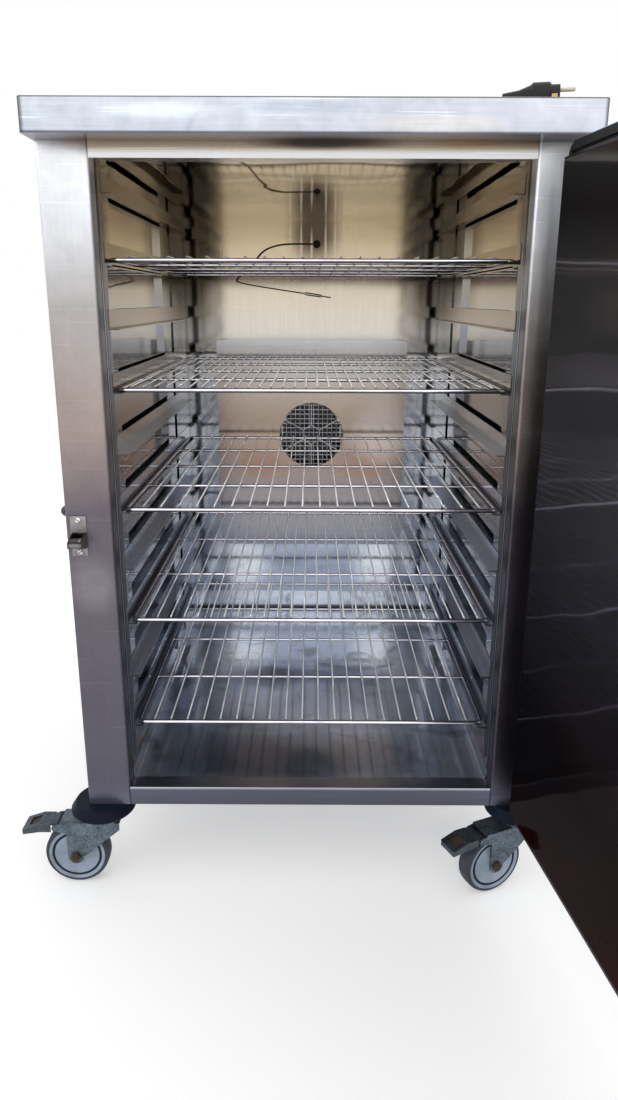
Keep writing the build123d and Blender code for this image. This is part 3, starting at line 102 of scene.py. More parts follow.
for lamp_name, place, aim, width, power, beam, mirrored in (
    ("lamp_left", (-2.2, -2.0, 2.6), (0, 0, 0.7), 2.6, 15, 180, True),
    ("lamp_right", (2.0, -2.2, 2.2), (0, 0, 0.6), 2.2, 6, 180, True),
    ("lamp_above", (0.0, 0.3, 3.3), (0, 0, 0.9), 2.6, 6, 180, True),
    ("lamp_front", (0.0, -2.3, 2.9), (0, 0.2, 0.6), 2.2, 13, 180, True),
    ("lamp_chamber", (-0.03, -2.1, 1.45), (-0.03, 0.2, 0.58), 0.5, 2.4, 26, False),
):
    lamp = bpy.data.lights.new(lamp_name, "AREA")
    lamp.size = width
    lamp.energy = power
    lamp.spread = math.radians(beam)
    holder = bpy.data.objects.new(lamp_name, lamp)
    holder.location = place
    holder.rotation_euler = (Vector(aim) - Vector(place)).to_track_quat("-Z", "Y").to_euler()
    holder.visible_glossy = mirrored
    scene.collection.objects.link(holder)

floor_half = 14.0
floor_drop = 0.0004
sweep = bmesh.new()
bmesh.ops.create_grid(sweep, x_segments=8, y_segments=8, size=floor_half)
floor_mesh = bpy.data.meshes.new("floor")
sweep.to_mesh(floor_mesh)
sweep.free()
floor = bpy.data.objects.new("floor", floor_mesh)
floor.location = (0, 0, -floor_drop)
scene.collection.objects.link(floor)
pale = bpy.data.materials.new("pale_floor")
pale.use_nodes = True
tree = pale.node_tree
tree.nodes.clear()
matt = add_node(tree, "BsdfDiffuse", {"Color": (0.90, 0.90, 0.90, 1)})
lift = add_node(tree, "Emission", {"Color": (1, 1, 1, 1), "Strength": 0.32})
lifted = add_node(tree, "AddShader", {0: matt.outputs[0], 1: lift.outputs[0]})
shown = add_node(tree, "MixShader", {0: seen_directly(tree), 1: matt.outputs[0], 2: lifted.outputs[0]})
add_node(tree, "OutputMaterial", {"Surface": shown.outputs[0]})
floor_mesh.materials.append(pale)


# Front frame: two posts of square-cornered stainless tube with a header and a sill welded between them.
# The tube is ground along its length. It is bright near the top and mirrors darker surroundings lower down,
# which its tones by height stand for as painted reflection; the brown band at the very top is painted shade.
def tint(red, green, blue):
    # Colours are written as they look on a screen, from 0 to 255
    shares = [value / 255 for value in (red, green, blue)]
    return tuple(s / 12.92 if s < 0.04045 else ((s + 0.055) / 1.055) ** 2.4 for s in shares) + (1.0,)


def noise(tree, place, scale, detail, **more):
    return add_node(tree, "TexNoise", {"Vector": place, "Scale": scale, "Detail": detail, **more}).outputs[0]


def scaled(tree, value, factor, start):
    return add_node(tree, "Math", {0: value, 1: factor, 2: start}, operation="MULTIPLY_ADD").outputs[0]


def laid_over(tree, share, under, over):
    return add_node(tree, "MixRGB", {"Fac": share, "Color1": under, "Color2": over}).outputs[0]


def textured(tree, surface, height, strength, depth):
    bump = add_node(tree, "Bump", {"Strength": strength, "Distance": depth, "Height": height})
    tree.links.new(bump.outputs[0], surface["Normal"])
    return bump


def new_finish(name):
    finish = bpy.data.materials.new(name)
    finish.use_nodes = True
    tree = finish.node_tree
    place = add_node(tree, "TexCoord", {}).outputs["Object"]
    return finish, tree, tree.nodes["Principled BSDF"].inputs, place


def brushed_steel(
    name, tones, grain, rough, cloud=0.10, lines=0.06, marks=0.15, wander=0.05, relief=0.18, wave=0.0,
    metal=1.0, edge=1.0, patches=(), ragged=0.7, smears=0.0, stain=None,
):
    # Tones are colours by height, and wander is how far their borders stray. Patches are soft spots laid over
    # them, each a centre, a reach, a colour and how much it covers; ragged is how far their rims break up.
    # Cloud, lines, marks and smears are how strongly blotches, brushing, scratches and wiping show.
    steel, tree, sheet, place = new_finish(name)
    sheet["Metallic"].default_value = metal
    sheet["Specular Tint"].default_value = (edge, edge, edge, 1)
    height = add_node(tree, "SeparateXYZ", {0: place}).outputs["Z"]
    wavy = scaled(tree, noise(tree, place, 7.0, 3.0), wander, height)
    low, high = tones[0][0], tones[-1][0]
    ends = {"From Min": low + wander / 2, "From Max": high + wander / 2}
    climb = add_node(tree, "MapRange", {"Value": wavy, **ends}).outputs[0]
    ramp = add_node(tree, "ValToRGB", {"Fac": climb})
    stops = ramp.color_ramp.elements
    for index, (level_z, colour) in enumerate(tones):
        where = (level_z - low) / (high - low)
        stop = stops[index] if index < 2 else stops.new(where)
        stop.position = where
        stop.color = tint(*colour)
    fineness = [9 if axis == grain else 420 for axis in "xyz"]
    brushing = add_node(tree, "Mapping", {"Vector": place, "Scale": fineness}).outputs[0]
    hair = noise(tree, brushing, 1.0, 3.0)
    blotch = noise(tree, place, 5.5, 6.0, Roughness=0.62, Distortion=0.5)
    slant = {"Vector": place, "Rotation": (0.5, 0.35, 0.25), "Scale": (7, 260, 330)}
    scratch = noise(tree, add_node(tree, "Mapping", slant).outputs[0], 1.0, 1.0)
    cut = add_node(tree, "MapRange", {"Value": scratch, "From Min": 0.66, "From Max": 0.74}).outputs[0]
    colour = ramp.outputs[0]
    for centre, reach, spot, share in patches:
        spread = [1 / span for span in reach]
        offset = [-at / span for at, span in zip(centre, reach)]
        nearby = add_node(tree, "Mapping", {"Vector": place, "Location": offset, "Scale": spread}).outputs[0]
        away = add_node(tree, "VectorMath", {0: nearby}, operation="LENGTH").outputs["Value"]
        rim = scaled(tree, blotch, ragged, away)
        fade = {"Value": rim, "From Min": 1 + ragged / 2, "From Max": 0.3 + ragged / 2, "To Max": share}
        cover = add_node(tree, "MapRange", fade, interpolation_type="SMOOTHSTEP").outputs[0]
        colour = laid_over(tree, cover, colour, tint(*spot))
    shade = scaled(tree, blotch, 2 * cloud, 1 - cloud - lines - smears)
    shade = scaled(tree, noise(tree, place, 34.0, 5.0, Distortion=1.0), 2 * smears, shade)
    shade = scaled(tree, hair, 2 * lines, shade)
    shade = scaled(tree, cut, marks, shade)
    colour = add_node(tree, "HueSaturation", {"Color": colour, "Value": shade}).outputs[0]
    if stain:
        spill = noise(tree, place, 13.0, 5.0, Distortion=1.2)
        dried = {"Value": spill, "From Min": 0.52, "From Max": 0.66, "To Max": 0.55}
        colour = laid_over(tree, add_node(tree, "MapRange", dried).outputs[0], colour, tint(*stain))
    tree.links.new(colour, sheet["Base Color"])
    dull = scaled(tree, hair, 0.5 * rough, 0.55 * rough)
    dull = scaled(tree, blotch, 0.4 * rough, dull)
    tree.links.new(dull, sheet["Roughness"])
    groove = scaled(tree, cut, -0.5, hair)
    bump = textured(tree, sheet, groove, relief, 0.0003)
    if wave:
        swell = noise(tree, place, 6.0, 1.0)
        buckled = add_node(tree, "Bump", {"Strength": 1.0, "Distance": wave, "Height": swell})
        tree.links.new(buckled.outputs[0], bump.inputs["Normal"])
    return steel


def dress(finish, *names):
    for name in names:
        solids[name].data.materials.clear()
        solids[name].data.materials.append(finish)


post_tones = [
    (0.145, (105, 107, 125)),
    (0.187, (88, 86, 98)),
    (0.600, (95, 88, 96)),
    (0.730, (150, 136, 131)),
    (0.880, (164, 160, 159)),
    (1.000, (222, 225, 230)),
    (1.058, (244, 245, 247)),
    (1.073, (156, 136, 121)),
]
low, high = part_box("posts")
# The first spot is painted shade on the right post from the open door; the second is a light rub by the
# strike
post_shade_and_rub = [
    ((high.x - 0.03, low.y, 0.46), (0.06, 0.3, 0.60), (25, 20, 26), 0.90),
    ((low.x + 0.03, low.y, 0.50), (0.05, 0.1, 0.06), (146, 142, 148), 0.35),
]
post_steel = brushed_steel(
    "ground_tube", post_tones, "z", 0.34, cloud=0.10, lines=0.07, marks=0.22, metal=0.72, patches=post_shade_and_rub,
    smears=0.14,
)
dress(post_steel, "posts")
# The sill's bright top edge is a painted highlight, and the brown band and spots at the top of the header are
# painted shadow and reflection of the worktop
rail_tones = [
    (0.145, (88, 88, 101)),
    (0.1722, (96, 97, 109)),
    (0.1738, (186, 190, 200)),
    (0.1760, (176, 180, 190)),
    (1.054, (230, 230, 232)),
    (1.061, (238, 238, 239)),
    (1.064, (204, 188, 166)),
    (1.073, (176, 154, 130)),
]
rail_shadow_and_reflection = [
    ((-0.02, 0, 1.071), (0.12, 1, 0.010), (62, 53, 50), 0.9),
    ((0.16, 0, 1.070), (0.07, 1, 0.007), (176, 146, 108), 0.8),
]
rail_steel = brushed_steel(
    "ground_rail", rail_tones, "x", 0.24, cloud=0.07, wander=0.0016, patches=rail_shadow_and_reflection
)
dress(rail_steel, "cross_rails")

# Outer panels: thin stainless sheet on the sides, back and underneath, folded at the rear corners.
# The sides and the back are ground upright and carry the smudges and rubs of a kitchen.
panel_tones = [
    (0.145, (124, 125, 134)),
    (0.450, (150, 150, 156)),
    (0.750, (172, 171, 173)),
    (1.073, (192, 194, 199)),
]
panel_steel = brushed_steel("side_sheet", panel_tones, "z", 0.30, cloud=0.16, lines=0.08, marks=0.2)
dress(panel_steel, "side_panels", "rear_panel")
base_tones = [(0.140, (120, 122, 128)), (0.150, (132, 134, 140))]
dress(brushed_steel("base_sheet", base_tones, "x", 0.38, cloud=0.15), "base_panel")

# Chamber lining: polished stainless sheet, browner near the top, with upright strips for the runners.
# The floor pan is coved up at its sides and shows dried spills; mineral wool boards lie behind it all.
# The soft dark and bright spots are painted reflections of what the polished sheet mirrors, and painted shade
# in its corners and along its top.
wall_tones = [
    (0.175, (98, 104, 116)),
    (0.420, (110, 114, 122)),
    (0.720, (132, 132, 134)),
    (0.850, (176, 177, 180)),
    (0.930, (180, 175, 165)),
    (1.054, (180, 168, 148)),
]
low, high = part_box("liner_sides")
# Painted shade in the rear corner, along the front edge and under the ceiling, and a painted reflection of
# vent slots
wall_shade_and_reflections = [
    ((-0.03, high.y - 0.008, 0.6), (2, 0.022, 3), (22, 20, 20), 0.92),
    ((-0.03, low.y, 1.04), (3, 0.040, 0.16), (88, 74, 62), 0.85),
    ((-0.03, 0.14, 0.808), (3, 0.036, 0.034), (78, 83, 92), 0.65),
    ((-0.03, 0.15, 1.050), (3, 0.50, 0.085), (98, 84, 66), 0.75),
]
wall_steel = brushed_steel(
    "lining_sheet", wall_tones, "z", 0.055, cloud=0.09, lines=0.03, marks=0.05, relief=0.015, wave=0.0004,
    patches=wall_shade_and_reflections, ragged=0.2,
)
dress(wall_steel, "liner_sides")
back_tones = [
    (0.175, (176, 186, 204)),
    (0.350, (196, 204, 216)),
    (0.700, (206, 204, 200)),
    (0.820, (216, 210, 200)),
    (0.900, (214, 203, 184)),
    (1.000, (198, 180, 150)),
    (1.054, (176, 158, 128)),
]
low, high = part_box("liner_back")
# Painted shade near the upper corners, painted reflections lower at the sides and in the dark centre, and
# painted highlights low down either side under the baffle
back_reflections_and_shade = [
    ((low.x + 0.020, low.y, 0.98), (0.085, 1, 0.26), (58, 52, 45), 0.92),
    ((high.x - 0.020, low.y, 0.98), (0.085, 1, 0.26), (66, 62, 57), 0.90),
    ((low.x + 0.020, low.y, 0.55), (0.085, 1, 0.34), (182, 186, 194), 0.80),
    ((high.x - 0.020, low.y, 0.55), (0.085, 1, 0.34), (204, 209, 218), 0.75),
    ((-0.025, low.y, 1.030), (0.075, 1, 0.085), (66, 54, 46), 0.92),
    ((-0.195, low.y, 0.29), (0.095, 1, 0.10), (244, 247, 252), 0.95),
    ((0.135, low.y, 0.29), (0.095, 1, 0.10), (244, 247, 252), 0.95),
]
# Seven light streaks near the top are painted reflections of the shelf wires
reflected_streak_half = 0.0038
for x, z, tall in (
    (-0.076, 1.00, 0.07), (-0.053, 0.985, 0.10), (-0.031, 0.99, 0.06), (-0.001, 0.985, 0.10),
    (0.019, 0.99, 0.09), (0.038, 1.00, 0.07), (0.064, 1.00, 0.06),
):
    back_reflections_and_shade.append(((x, low.y, z), (reflected_streak_half, 1, tall), (190, 178, 160), 0.70))
back_steel = brushed_steel(
    "back_sheet", back_tones, "z", 0.10, cloud=0.13, lines=0.08, marks=0.06, relief=0.04, wave=0.0005,
    patches=back_reflections_and_shade, ragged=0.3,
)
dress(back_steel, "liner_back")
ceiling_tones = [(1.050, (196, 188, 172)), (1.056, (198, 190, 174))]
ceiling_steel = brushed_steel(
    "ceiling_sheet", ceiling_tones, "y", 0.03, cloud=0.06, lines=0.01, marks=0.02, relief=0.01, wave=0.001
)
dress(ceiling_steel, "liner_ceiling")
pan_tones = [
    (0.170, (212, 219, 233)),
    (0.182, (213, 220, 233)),
    (0.190, (234, 239, 248)),
    (0.2190, (234, 239, 248)),
    (0.2212, (92, 97, 108)),
    (0.2220, (84, 89, 100)),
]
low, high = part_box("floor_pan")
# Bright spots are painted reflections, which the mirrored back wall shows too, and the dark line at the rear
# crease is painted shade; the pan is also greyer towards the front and in two spots
pan_reflections_shade_and_spots = [
    ((-0.23, low.y + 0.43, low.z), (0.12, 0.16, 1), (242, 246, 252), 0.90),
    ((0.17, low.y + 0.40, low.z), (0.12, 0.22, 1), (244, 248, 253), 0.90),
    ((-0.03, low.y + 0.36, low.z), (0.11, 0.18, 1), (186, 194, 210), 0.60),
    ((0.00, low.y + 0.01, low.z), (0.34, 0.17, 1), (150, 158, 172), 0.85),
    ((-0.14, low.y + 0.03, low.z), (0.22, 0.21, 1), (92, 99, 114), 0.80),
    ((-0.03, high.y - 0.003, 0.178), (3, 0.012, 0.009), (34, 38, 46), 0.95),
    ((-0.11, low.y + 0.36, low.z), (0.09, 0.075, 1), (126, 124, 122), 0.55),
    ((0.07, low.y + 0.30, low.z), (0.11, 0.085, 1), (138, 138, 140), 0.45),
]
pan_steel = brushed_steel(
    "pan_sheet", pan_tones, "y", 0.11, cloud=0.18, lines=0.04, marks=0.05, wander=0.001, relief=0.025,
    wave=0.0012, metal=0.82, patches=pan_reflections_shade_and_spots, stain=(96, 101, 110),
)
dress(pan_steel, "floor_pan")


def two_tone(tree, value, dark, light, dark_at=0.0, light_at=1.0):
    ramp = add_node(tree, "ValToRGB", {"Fac": value})
    for stop, at, colour in zip(ramp.color_ramp.elements, (dark_at, light_at), (dark, light)):
        stop.position = at
        stop.color = tint(*colour)
    return ramp.outputs[0]


def mineral_wool(name, colour):
    wool, tree, board, place = new_finish(name)
    board["Roughness"].default_value = 0.95
    fibre = noise(tree, place, 380.0, 6.0, Distortion=2.0)
    hollows = [value * 0.7 for value in colour]
    tree.links.new(two_tone(tree, fibre, hollows, colour), board["Base Color"])
    textured(tree, board, fibre, 0.7, 0.002)
    return wool


dress(mineral_wool("wool_board", (214, 196, 128)), "insulation", "door_core")

# Runners: ten pairs of plain stainless angles welded to the upright strips.
# They are browner towards the top of the chamber, and their cut front ends carry painted shade.
runner_tones = [
    (0.180, (152, 162, 182)),
    (0.520, (160, 168, 184)),
    (0.680, (182, 182, 186)),
    (0.780, (188, 182, 176)),
    (0.880, (158, 148, 136)),
    (0.960, (150, 134, 110)),
    (1.042, (130, 114, 92)),
]
low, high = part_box("left_runners")
shaded_cut_ends = [((0, low.y, 0.6), (3, 0.006, 3), (60, 56, 54), 0.95)]
runner_steel = brushed_steel(
    "angle_steel", runner_tones, "y", 0.16, cloud=0.16, lines=0.03, marks=0.05, relief=0.012,
    patches=shaded_cut_ends, metal=0.85,
)
dress(runner_steel, "left_runners", "right_runners")


# Wire shelves: a rod frame with rounded corners and bars across it, and drawn wires welded on top.
# Each lies loose on a pair of runners and slides out; the rods are chromed and worn bright, and the thin
# wires' pale tones are painted sheen.
def bright_wire(name, dark, light, rough, metal=1.0, dark_bands=(), band_tone=(60, 56, 60)):
    # A dark band lies where the rod's round surface turns up by so much, and stands for what it mirrors there
    wire, tree, rod, place = new_finish(name)
    rod["Metallic"].default_value = metal
    film = noise(tree, place, 26.0, 4.0, Distortion=0.4)
    colour = two_tone(tree, film, dark, light, 0.36, 0.60)
    facing = add_node(tree, "TexCoord", {}).outputs["Normal"]
    up = add_node(tree, "SeparateXYZ", {0: facing}).outputs["Z"]
    for start, full in dark_bands:
        band = {"Value": up, "From Min": start, "From Max": full, "To Max": 0.9}
        cover = add_node(tree, "MapRange", band, interpolation_type="SMOOTHSTEP").outputs[0]
        colour = laid_over(tree, cover, colour, tint(*band_tone))
    tree.links.new(colour, rod["Base Color"])
    fine = noise(tree, place, 900.0, 2.0)
    tree.links.new(scaled(tree, fine, 0.14, rough - 0.07), rod["Roughness"])
    textured(tree, rod, fine, 0.12, 0.0002)
    return wire


def rods(name, runs, *finishes):
    # One curve with a round section; each run is its points, its thickness, whether it closes and its finish
    unit_radius = 0.001
    line = bpy.data.curves.new(name, "CURVE")
    line.dimensions = "3D"
    line.bevel_depth = unit_radius
    line.bevel_resolution = 2
    line.use_fill_caps = True
    for finish in finishes:
        line.materials.append(finish)
    for points, thick, closed, finish in runs:
        run = line.splines.new("POLY")
        run.material_index = finish
        run.points.add(len(points) - 1)
        for knot, point in zip(run.points, points):
            knot.co = (*point, 1.0)
            knot.radius = thick / 2 / unit_radius
        run.use_cyclic_u = closed
    piece = bpy.data.objects.new(name, line)
    scene.collection.objects.link(piece)
    return piece


def rounded_loop(low, high, radius, z):
    steps = 6
    left, right = low.x + radius, high.x - radius
    front, rear = low.y + radius, high.y - radius
    loop = []
    for quarter, (x, y) in enumerate(((right, rear), (left, rear), (left, front), (right, front))):
        for step in range(steps + 1):
            angle = math.pi / 2 * (quarter + step / steps)
            loop.append((x + radius * math.cos(angle), y + radius * math.sin(angle), z))
    return loop


# The thin wires have a plain pale finish with little metal in it, a painted sheen so that they stay bright in
# the chamber
frame_chrome = bright_wire(
    "drawn_rod", (220, 216, 226), (246, 243, 250), 0.14,
    dark_bands=((0.60, 0.92), (0.10, -0.35)), band_tone=(44, 40, 46),
)
wire_chrome = bright_wire(
    "drawn_wire", (240, 240, 246), (255, 255, 255), 0.16,
    metal=0.2, dark_bands=((0.62, 0.20),), band_tone=(44, 44, 54),
)
sheen_painted_wire = bright_wire(
    "painted_sheen_wire", (236, 235, 240), (252, 251, 254), 0.16,
    metal=0.0, dark_bands=((0.48, 0.06),), band_tone=(26, 23, 30),
)
rod_thick, bar_thick, wire_thick = 0.0060, 0.0050, 0.0028
corner_radius, bar_inset, wire_inset = 0.011, 0.004, 0.0016
weaves = {"coarse": (20, 0.0275, 3), "middle": (26, 0.0200, 2), "fine": (32, 0.0201, 3)}
for shelf, weave in (
    ("shelf_1", "coarse"), ("shelf_2", "fine"), ("shelf_3", "coarse"), ("shelf_4", "middle"),
    ("shelf_5", "coarse"),
):
    low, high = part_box(shelf)
    wire_count, wire_edge, bar_count = weaves[weave]
    rod_z = low.z + rod_thick / 2
    wire_z = high.z - wire_thick / 2
    inset = Vector((rod_thick / 2, rod_thick / 2, 0))
    runs = [(rounded_loop(low + inset, high - inset, corner_radius, rod_z), rod_thick, True, 0)]
    for bar in range(bar_count):
        y = low.y + (high.y - low.y) * (bar + 1) / (bar_count + 1)
        runs.append(([(low.x + bar_inset, y, rod_z), (high.x - bar_inset, y, rod_z)], bar_thick, False, 0))
    for wire in range(wire_count):
        x = low.x + wire_edge + (high.x - low.x - 2 * wire_edge) * wire / (wire_count - 1)
        wire_line = [(x, low.y + wire_inset, wire_z), (x, high.y - wire_inset, wire_z)]
        runs.append((wire_line, wire_thick, False, 1))
    upper = shelf in ("shelf_1", "shelf_2", "shelf_3")
    grid = rods("grid_of_" + shelf, runs, frame_chrome, sheen_painted_wire if upper else wire_chrome)
    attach(grid, shelf + "_body")
    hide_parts(shelf)

# Fan: a folded baffle on the back wall with a round inlet, a guard of square wire mesh behind it, and the
# impeller, motor and ring element that it covers. The sheet is tinted brown; the guard is dusty, with
# brighter spokes.
baffle_tones = [
    (0.352, (158, 162, 172)),
    (0.450, (148, 144, 148)),
    (0.560, (152, 134, 122)),
    (0.660, (172, 156, 142)),
    (0.740, (184, 178, 172)),
    (0.806, (208, 207, 208)),
]
baffle_marks = [
    ((-0.135, 0.59, 0.535), (0.085, 1, 0.040), (150, 114, 96), 0.60),
    ((0.085, 0.59, 0.535), (0.085, 1, 0.040), (158, 122, 104), 0.55),
    ((-0.18, 0.59, 0.74), (0.08, 1, 0.05), (168, 160, 156), 0.60),
    ((0.13, 0.59, 0.61), (0.10, 1, 0.09), (198, 188, 182), 0.70),
]
baffle_steel = brushed_steel(
    "baffle_sheet", baffle_tones, "x", 0.20, cloud=0.14, lines=0.05, marks=0.05, relief=0.08,
    patches=baffle_marks,
)
dress(baffle_steel, "fan_baffle")
low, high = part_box("fan_guard")
middle = (low + high) / 2
mesh_wire, mesh_count, mesh_pitch = 0.0020, 16, 0.0100
spoke_count, spoke_from, spoke_to = 6, 0.021, 0.066
upright_y, level_y = low.y + mesh_wire / 2, high.y - mesh_wire / 2
runs = []
for index in range(mesh_count):
    offset = (index - (mesh_count - 1) / 2) * mesh_pitch
    upright = [(middle.x + offset, upright_y, low.z), (middle.x + offset, upright_y, high.z)]
    crosswise = [(low.x, level_y, middle.z + offset), (high.x, level_y, middle.z + offset)]
    runs += [(upright, mesh_wire, False, 0), (crosswise, mesh_wire, False, 0)]
angles = [2 * math.pi * k / spoke_count for k in range(spoke_count)]
star = [(math.sin(angle), math.cos(angle)) for angle in angles]
ring = [(middle.x + spoke_from * x, upright_y, middle.z + spoke_from * z) for x, z in star]
runs.append((ring, mesh_wire, True, 1))
for x, z in star:
    spoke = [(middle.x + reach * x, upright_y, middle.z + reach * z) for reach in (spoke_from, spoke_to)]
    runs.append((spoke, mesh_wire, False, 1))
dusty = bright_wire("dusty_wire", (206, 206, 212), (246, 246, 250), 0.26)
spoke_wire = bright_wire("spoke_wire", (236, 236, 242), (254, 254, 255), 0.30)
guard = rods("guard_mesh", runs, dusty, spoke_wire)
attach(guard, "cabinet")
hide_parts("fan_guard")
vane_tones = [(0.540, (64, 63, 64)), (0.668, (76, 75, 75))]
dress(brushed_steel("vane_sheet", vane_tones, "z", 0.36, cloud=0.20), "impeller")


def moulded(name, colour, rough, relief=0.15, patch=0.10, sheen=0.3):
    plastic, tree, skin, place = new_finish(name)
    skin["Specular IOR Level"].default_value = sheen
    cloud = noise(tree, place, 22.0, 5.0, Roughness=0.6)
    darker = [value * (1 - patch) for value in colour]
    lighter = [min(value * (1 + patch) + 4, 255) for value in colour]
    tree.links.new(two_tone(tree, cloud, darker, lighter, 0.30, 0.70), skin["Base Color"])
    tree.links.new(scaled(tree, cloud, 0.24, rough - 0.12), skin["Roughness"])
    textured(tree, skin, noise(tree, place, 600.0, 3.0), relief, 0.0004)
    return plastic


dress(moulded("motor_paint", (58, 60, 64), 0.5), "fan_motor")
sheath_tones = [(0.510, (92, 84, 80)), (0.700, (112, 100, 92))]
dress(brushed_steel("element_sheath", sheath_tones, "z", 0.45, cloud=0.25), "heating_element")


# Thermostat: its capillary tube comes through a grommet in the back wall, runs across and ends in a bulb.
# The tube is browned metal and the body behind the service cover is moulded.
def eased(points):
    # Corners cut off three times over, until the line bends smoothly; the two ends stay
    for _ in range(3):
        cut = [points[0]]
        for a, b in zip(points, points[1:]):
            cut += [a.lerp(b, 0.25), a.lerp(b, 0.75)]
        points = cut + [points[-1]]
    return points


tube_thick, bulb_thick, bulb_long, tail_long = 0.0024, 0.0064, 0.034, 0.0215
neck_thick, neck_long = bulb_thick * 0.7, 0.002
tube_tones = [(0.890, (52, 42, 36)), (1.010, (72, 58, 48))]
tube_metal = brushed_steel("capillary_tube", tube_tones, "x", 0.42, cloud=0.20)
bulb_metal = bright_wire(
    "bulb_metal", (150, 144, 138), (196, 192, 186), 0.2,
    dark_bands=((0.10, 0.50), (-0.10, -0.50)), band_tone=(30, 26, 24),
)
low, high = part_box("capillary")
eye_low, eye_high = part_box("grommet")
entry = (eye_low + eye_high) / 2
entry.y = low.y + bulb_thick / 2
bends = [
    (0, 0), (-0.036, 0.0006), (-0.080, -0.0006), (-0.118, -0.014), (-0.138, -0.046),
    (-0.1745, -0.0715), (-0.1700, -0.0800), (-0.024, -0.101),
]
across_wall = eased([entry + Vector((x, 0, z)) for x, z in bends])
bulb_from = across_wall[-1]
bulb_way = (bulb_from - across_wall[-2]).normalized()
bulb_to = bulb_from + bulb_way * bulb_long
through_wall = Vector((entry.x, high.y, entry.z))
inside_wall = entry + Vector((0, 0.002, 0))
capillary = rods(
    "capillary_and_bulb",
    [
        ([through_wall, inside_wall] + across_wall, tube_thick, False, 0),
        ([bulb_from, bulb_to], bulb_thick, False, 1),
        ([bulb_from - bulb_way * neck_long, bulb_to + bulb_way * neck_long], neck_thick, False, 1),
        ([bulb_to, bulb_to + bulb_way * tail_long], tube_thick, False, 0),
    ],
    tube_metal, bulb_metal,
)
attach(capillary, "cabinet")
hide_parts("capillary")
dress(moulded("grommet_rubber", (40, 26, 20), 0.6), "grommet")
dress(moulded("thermostat_case", (196, 192, 184), 0.5), "thermostat")

# Service cover: a folded stainless box screwed to the back, with vents, the thermostat knob, a rocker switch
# and the gland that the mains cord comes out of.
cover_tones = [(0.466, (150, 151, 157)), (1.059, (186, 188, 193))]
dress(brushed_steel("cover_sheet", cover_tones, "z", 0.30, cloud=0.10), "service_cover")
dress(moulded("knob_plastic", (30, 30, 32), 0.42), "knob")
dress(moulded("key_plastic", (176, 34, 26), 0.36), "rocker")
dress(moulded("gland_nylon", (34, 34, 36), 0.45), "cord_gland")


def slotted_screws(name, places, radius, body, finish):
    # Domed heads with a driver slot; each place is a point on a surface, the way it faces and the slot's turn
    sides = 20
    angles = [2 * math.pi * k / sides for k in range(sides)]
    dome_end = math.pi / 2 * 0.86
    dome_high = radius * 0.52
    slot_half = radius * 0.13
    seat_radius, seat_lift = radius * 0.94, radius * 0.16
    heads = bmesh.new()
    for point, facing, turn in places:
        way = Vector(facing).to_track_quat("Z", "Y").to_matrix().to_4x4()
        for side in (1, -1):
            half = bmesh.new()
            rings = []
            for share in (0.0, 0.35, 0.7):
                swing = share * dome_end
                ring_r = radius * math.cos(swing)
                ring_z = dome_high * math.sin(swing) / math.sin(dome_end)
                ring = [(ring_r * math.cos(a), ring_r * math.sin(a), ring_z) for a in angles]
                rings.append([half.verts.new(spot) for spot in ring])
            tip = half.verts.new((0, 0, dome_high))
            for lower, upper in zip(rings, rings[1:]):
                for k in range(sides):
                    half.faces.new((lower[k], lower[(k + 1) % sides], upper[(k + 1) % sides], upper[k]))
            for k in range(sides):
                half.faces.new((rings[-1][k], rings[-1][(k + 1) % sides], tip))
            everything = half.verts[:] + half.edges[:] + half.faces[:]
            wall, inwards = (side * slot_half, 0, 0), (-side, 0, 0)
            bmesh.ops.bisect_plane(half, geom=everything, plane_co=wall, plane_no=inwards, clear_outer=True)
            bmesh.ops.edgeloop_fill(half, edges=[e for e in half.edges if e.is_boundary])
            half.transform(Matrix.Translation(point) @ way @ Matrix.Rotation(turn, 4, "Z"))
            spare = bpy.data.meshes.new("half_head")
            half.to_mesh(spare)
            half.free()
            heads.from_mesh(spare)
            bpy.data.meshes.remove(spare)
        # A dark disc under each head, seen through the slot, is painted shade
        seat = bmesh.ops.create_circle(heads, cap_ends=True, segments=sides, radius=seat_radius)
        for face in {face for spot in seat["verts"] for face in spot.link_faces}:
            face.material_index = 1
        lifted = Matrix.Translation(Vector(point) + Vector(facing).normalized() * seat_lift) @ way
        bmesh.ops.transform(heads, matrix=lifted, verts=seat["verts"])
    mesh = bpy.data.meshes.new(name)
    heads.to_mesh(mesh)
    heads.free()
    mesh.materials.append(finish)
    mesh.materials.append(slot_shade)
    piece = bpy.data.objects.new(name, mesh)
    scene.collection.objects.link(piece)
    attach(piece, body)


screw_steel = bright_wire("screw_steel", (168, 164, 162), (226, 224, 222), 0.20)
slot_shade = moulded("slot_shade", (26, 23, 22), 0.7)
low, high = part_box("service_cover")
flange_thick, flange_middle, end_gap = 0.0012, 0.007, 0.03
flange_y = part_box("rear_panel")[1].y + flange_thick
cover_screws = []
for x in (low.x + flange_middle, high.x - flange_middle):
    for k in range(3):
        z = low.z + end_gap + k * (high.z - low.z - 2 * end_gap) / 2
        cover_screws.append(((x, flange_y, z), (0, 1, 0), 0.5 + len(cover_screws) * 0.9))
slotted_screws("cover_screws", cover_screws, 0.0040, "cabinet", screw_steel)

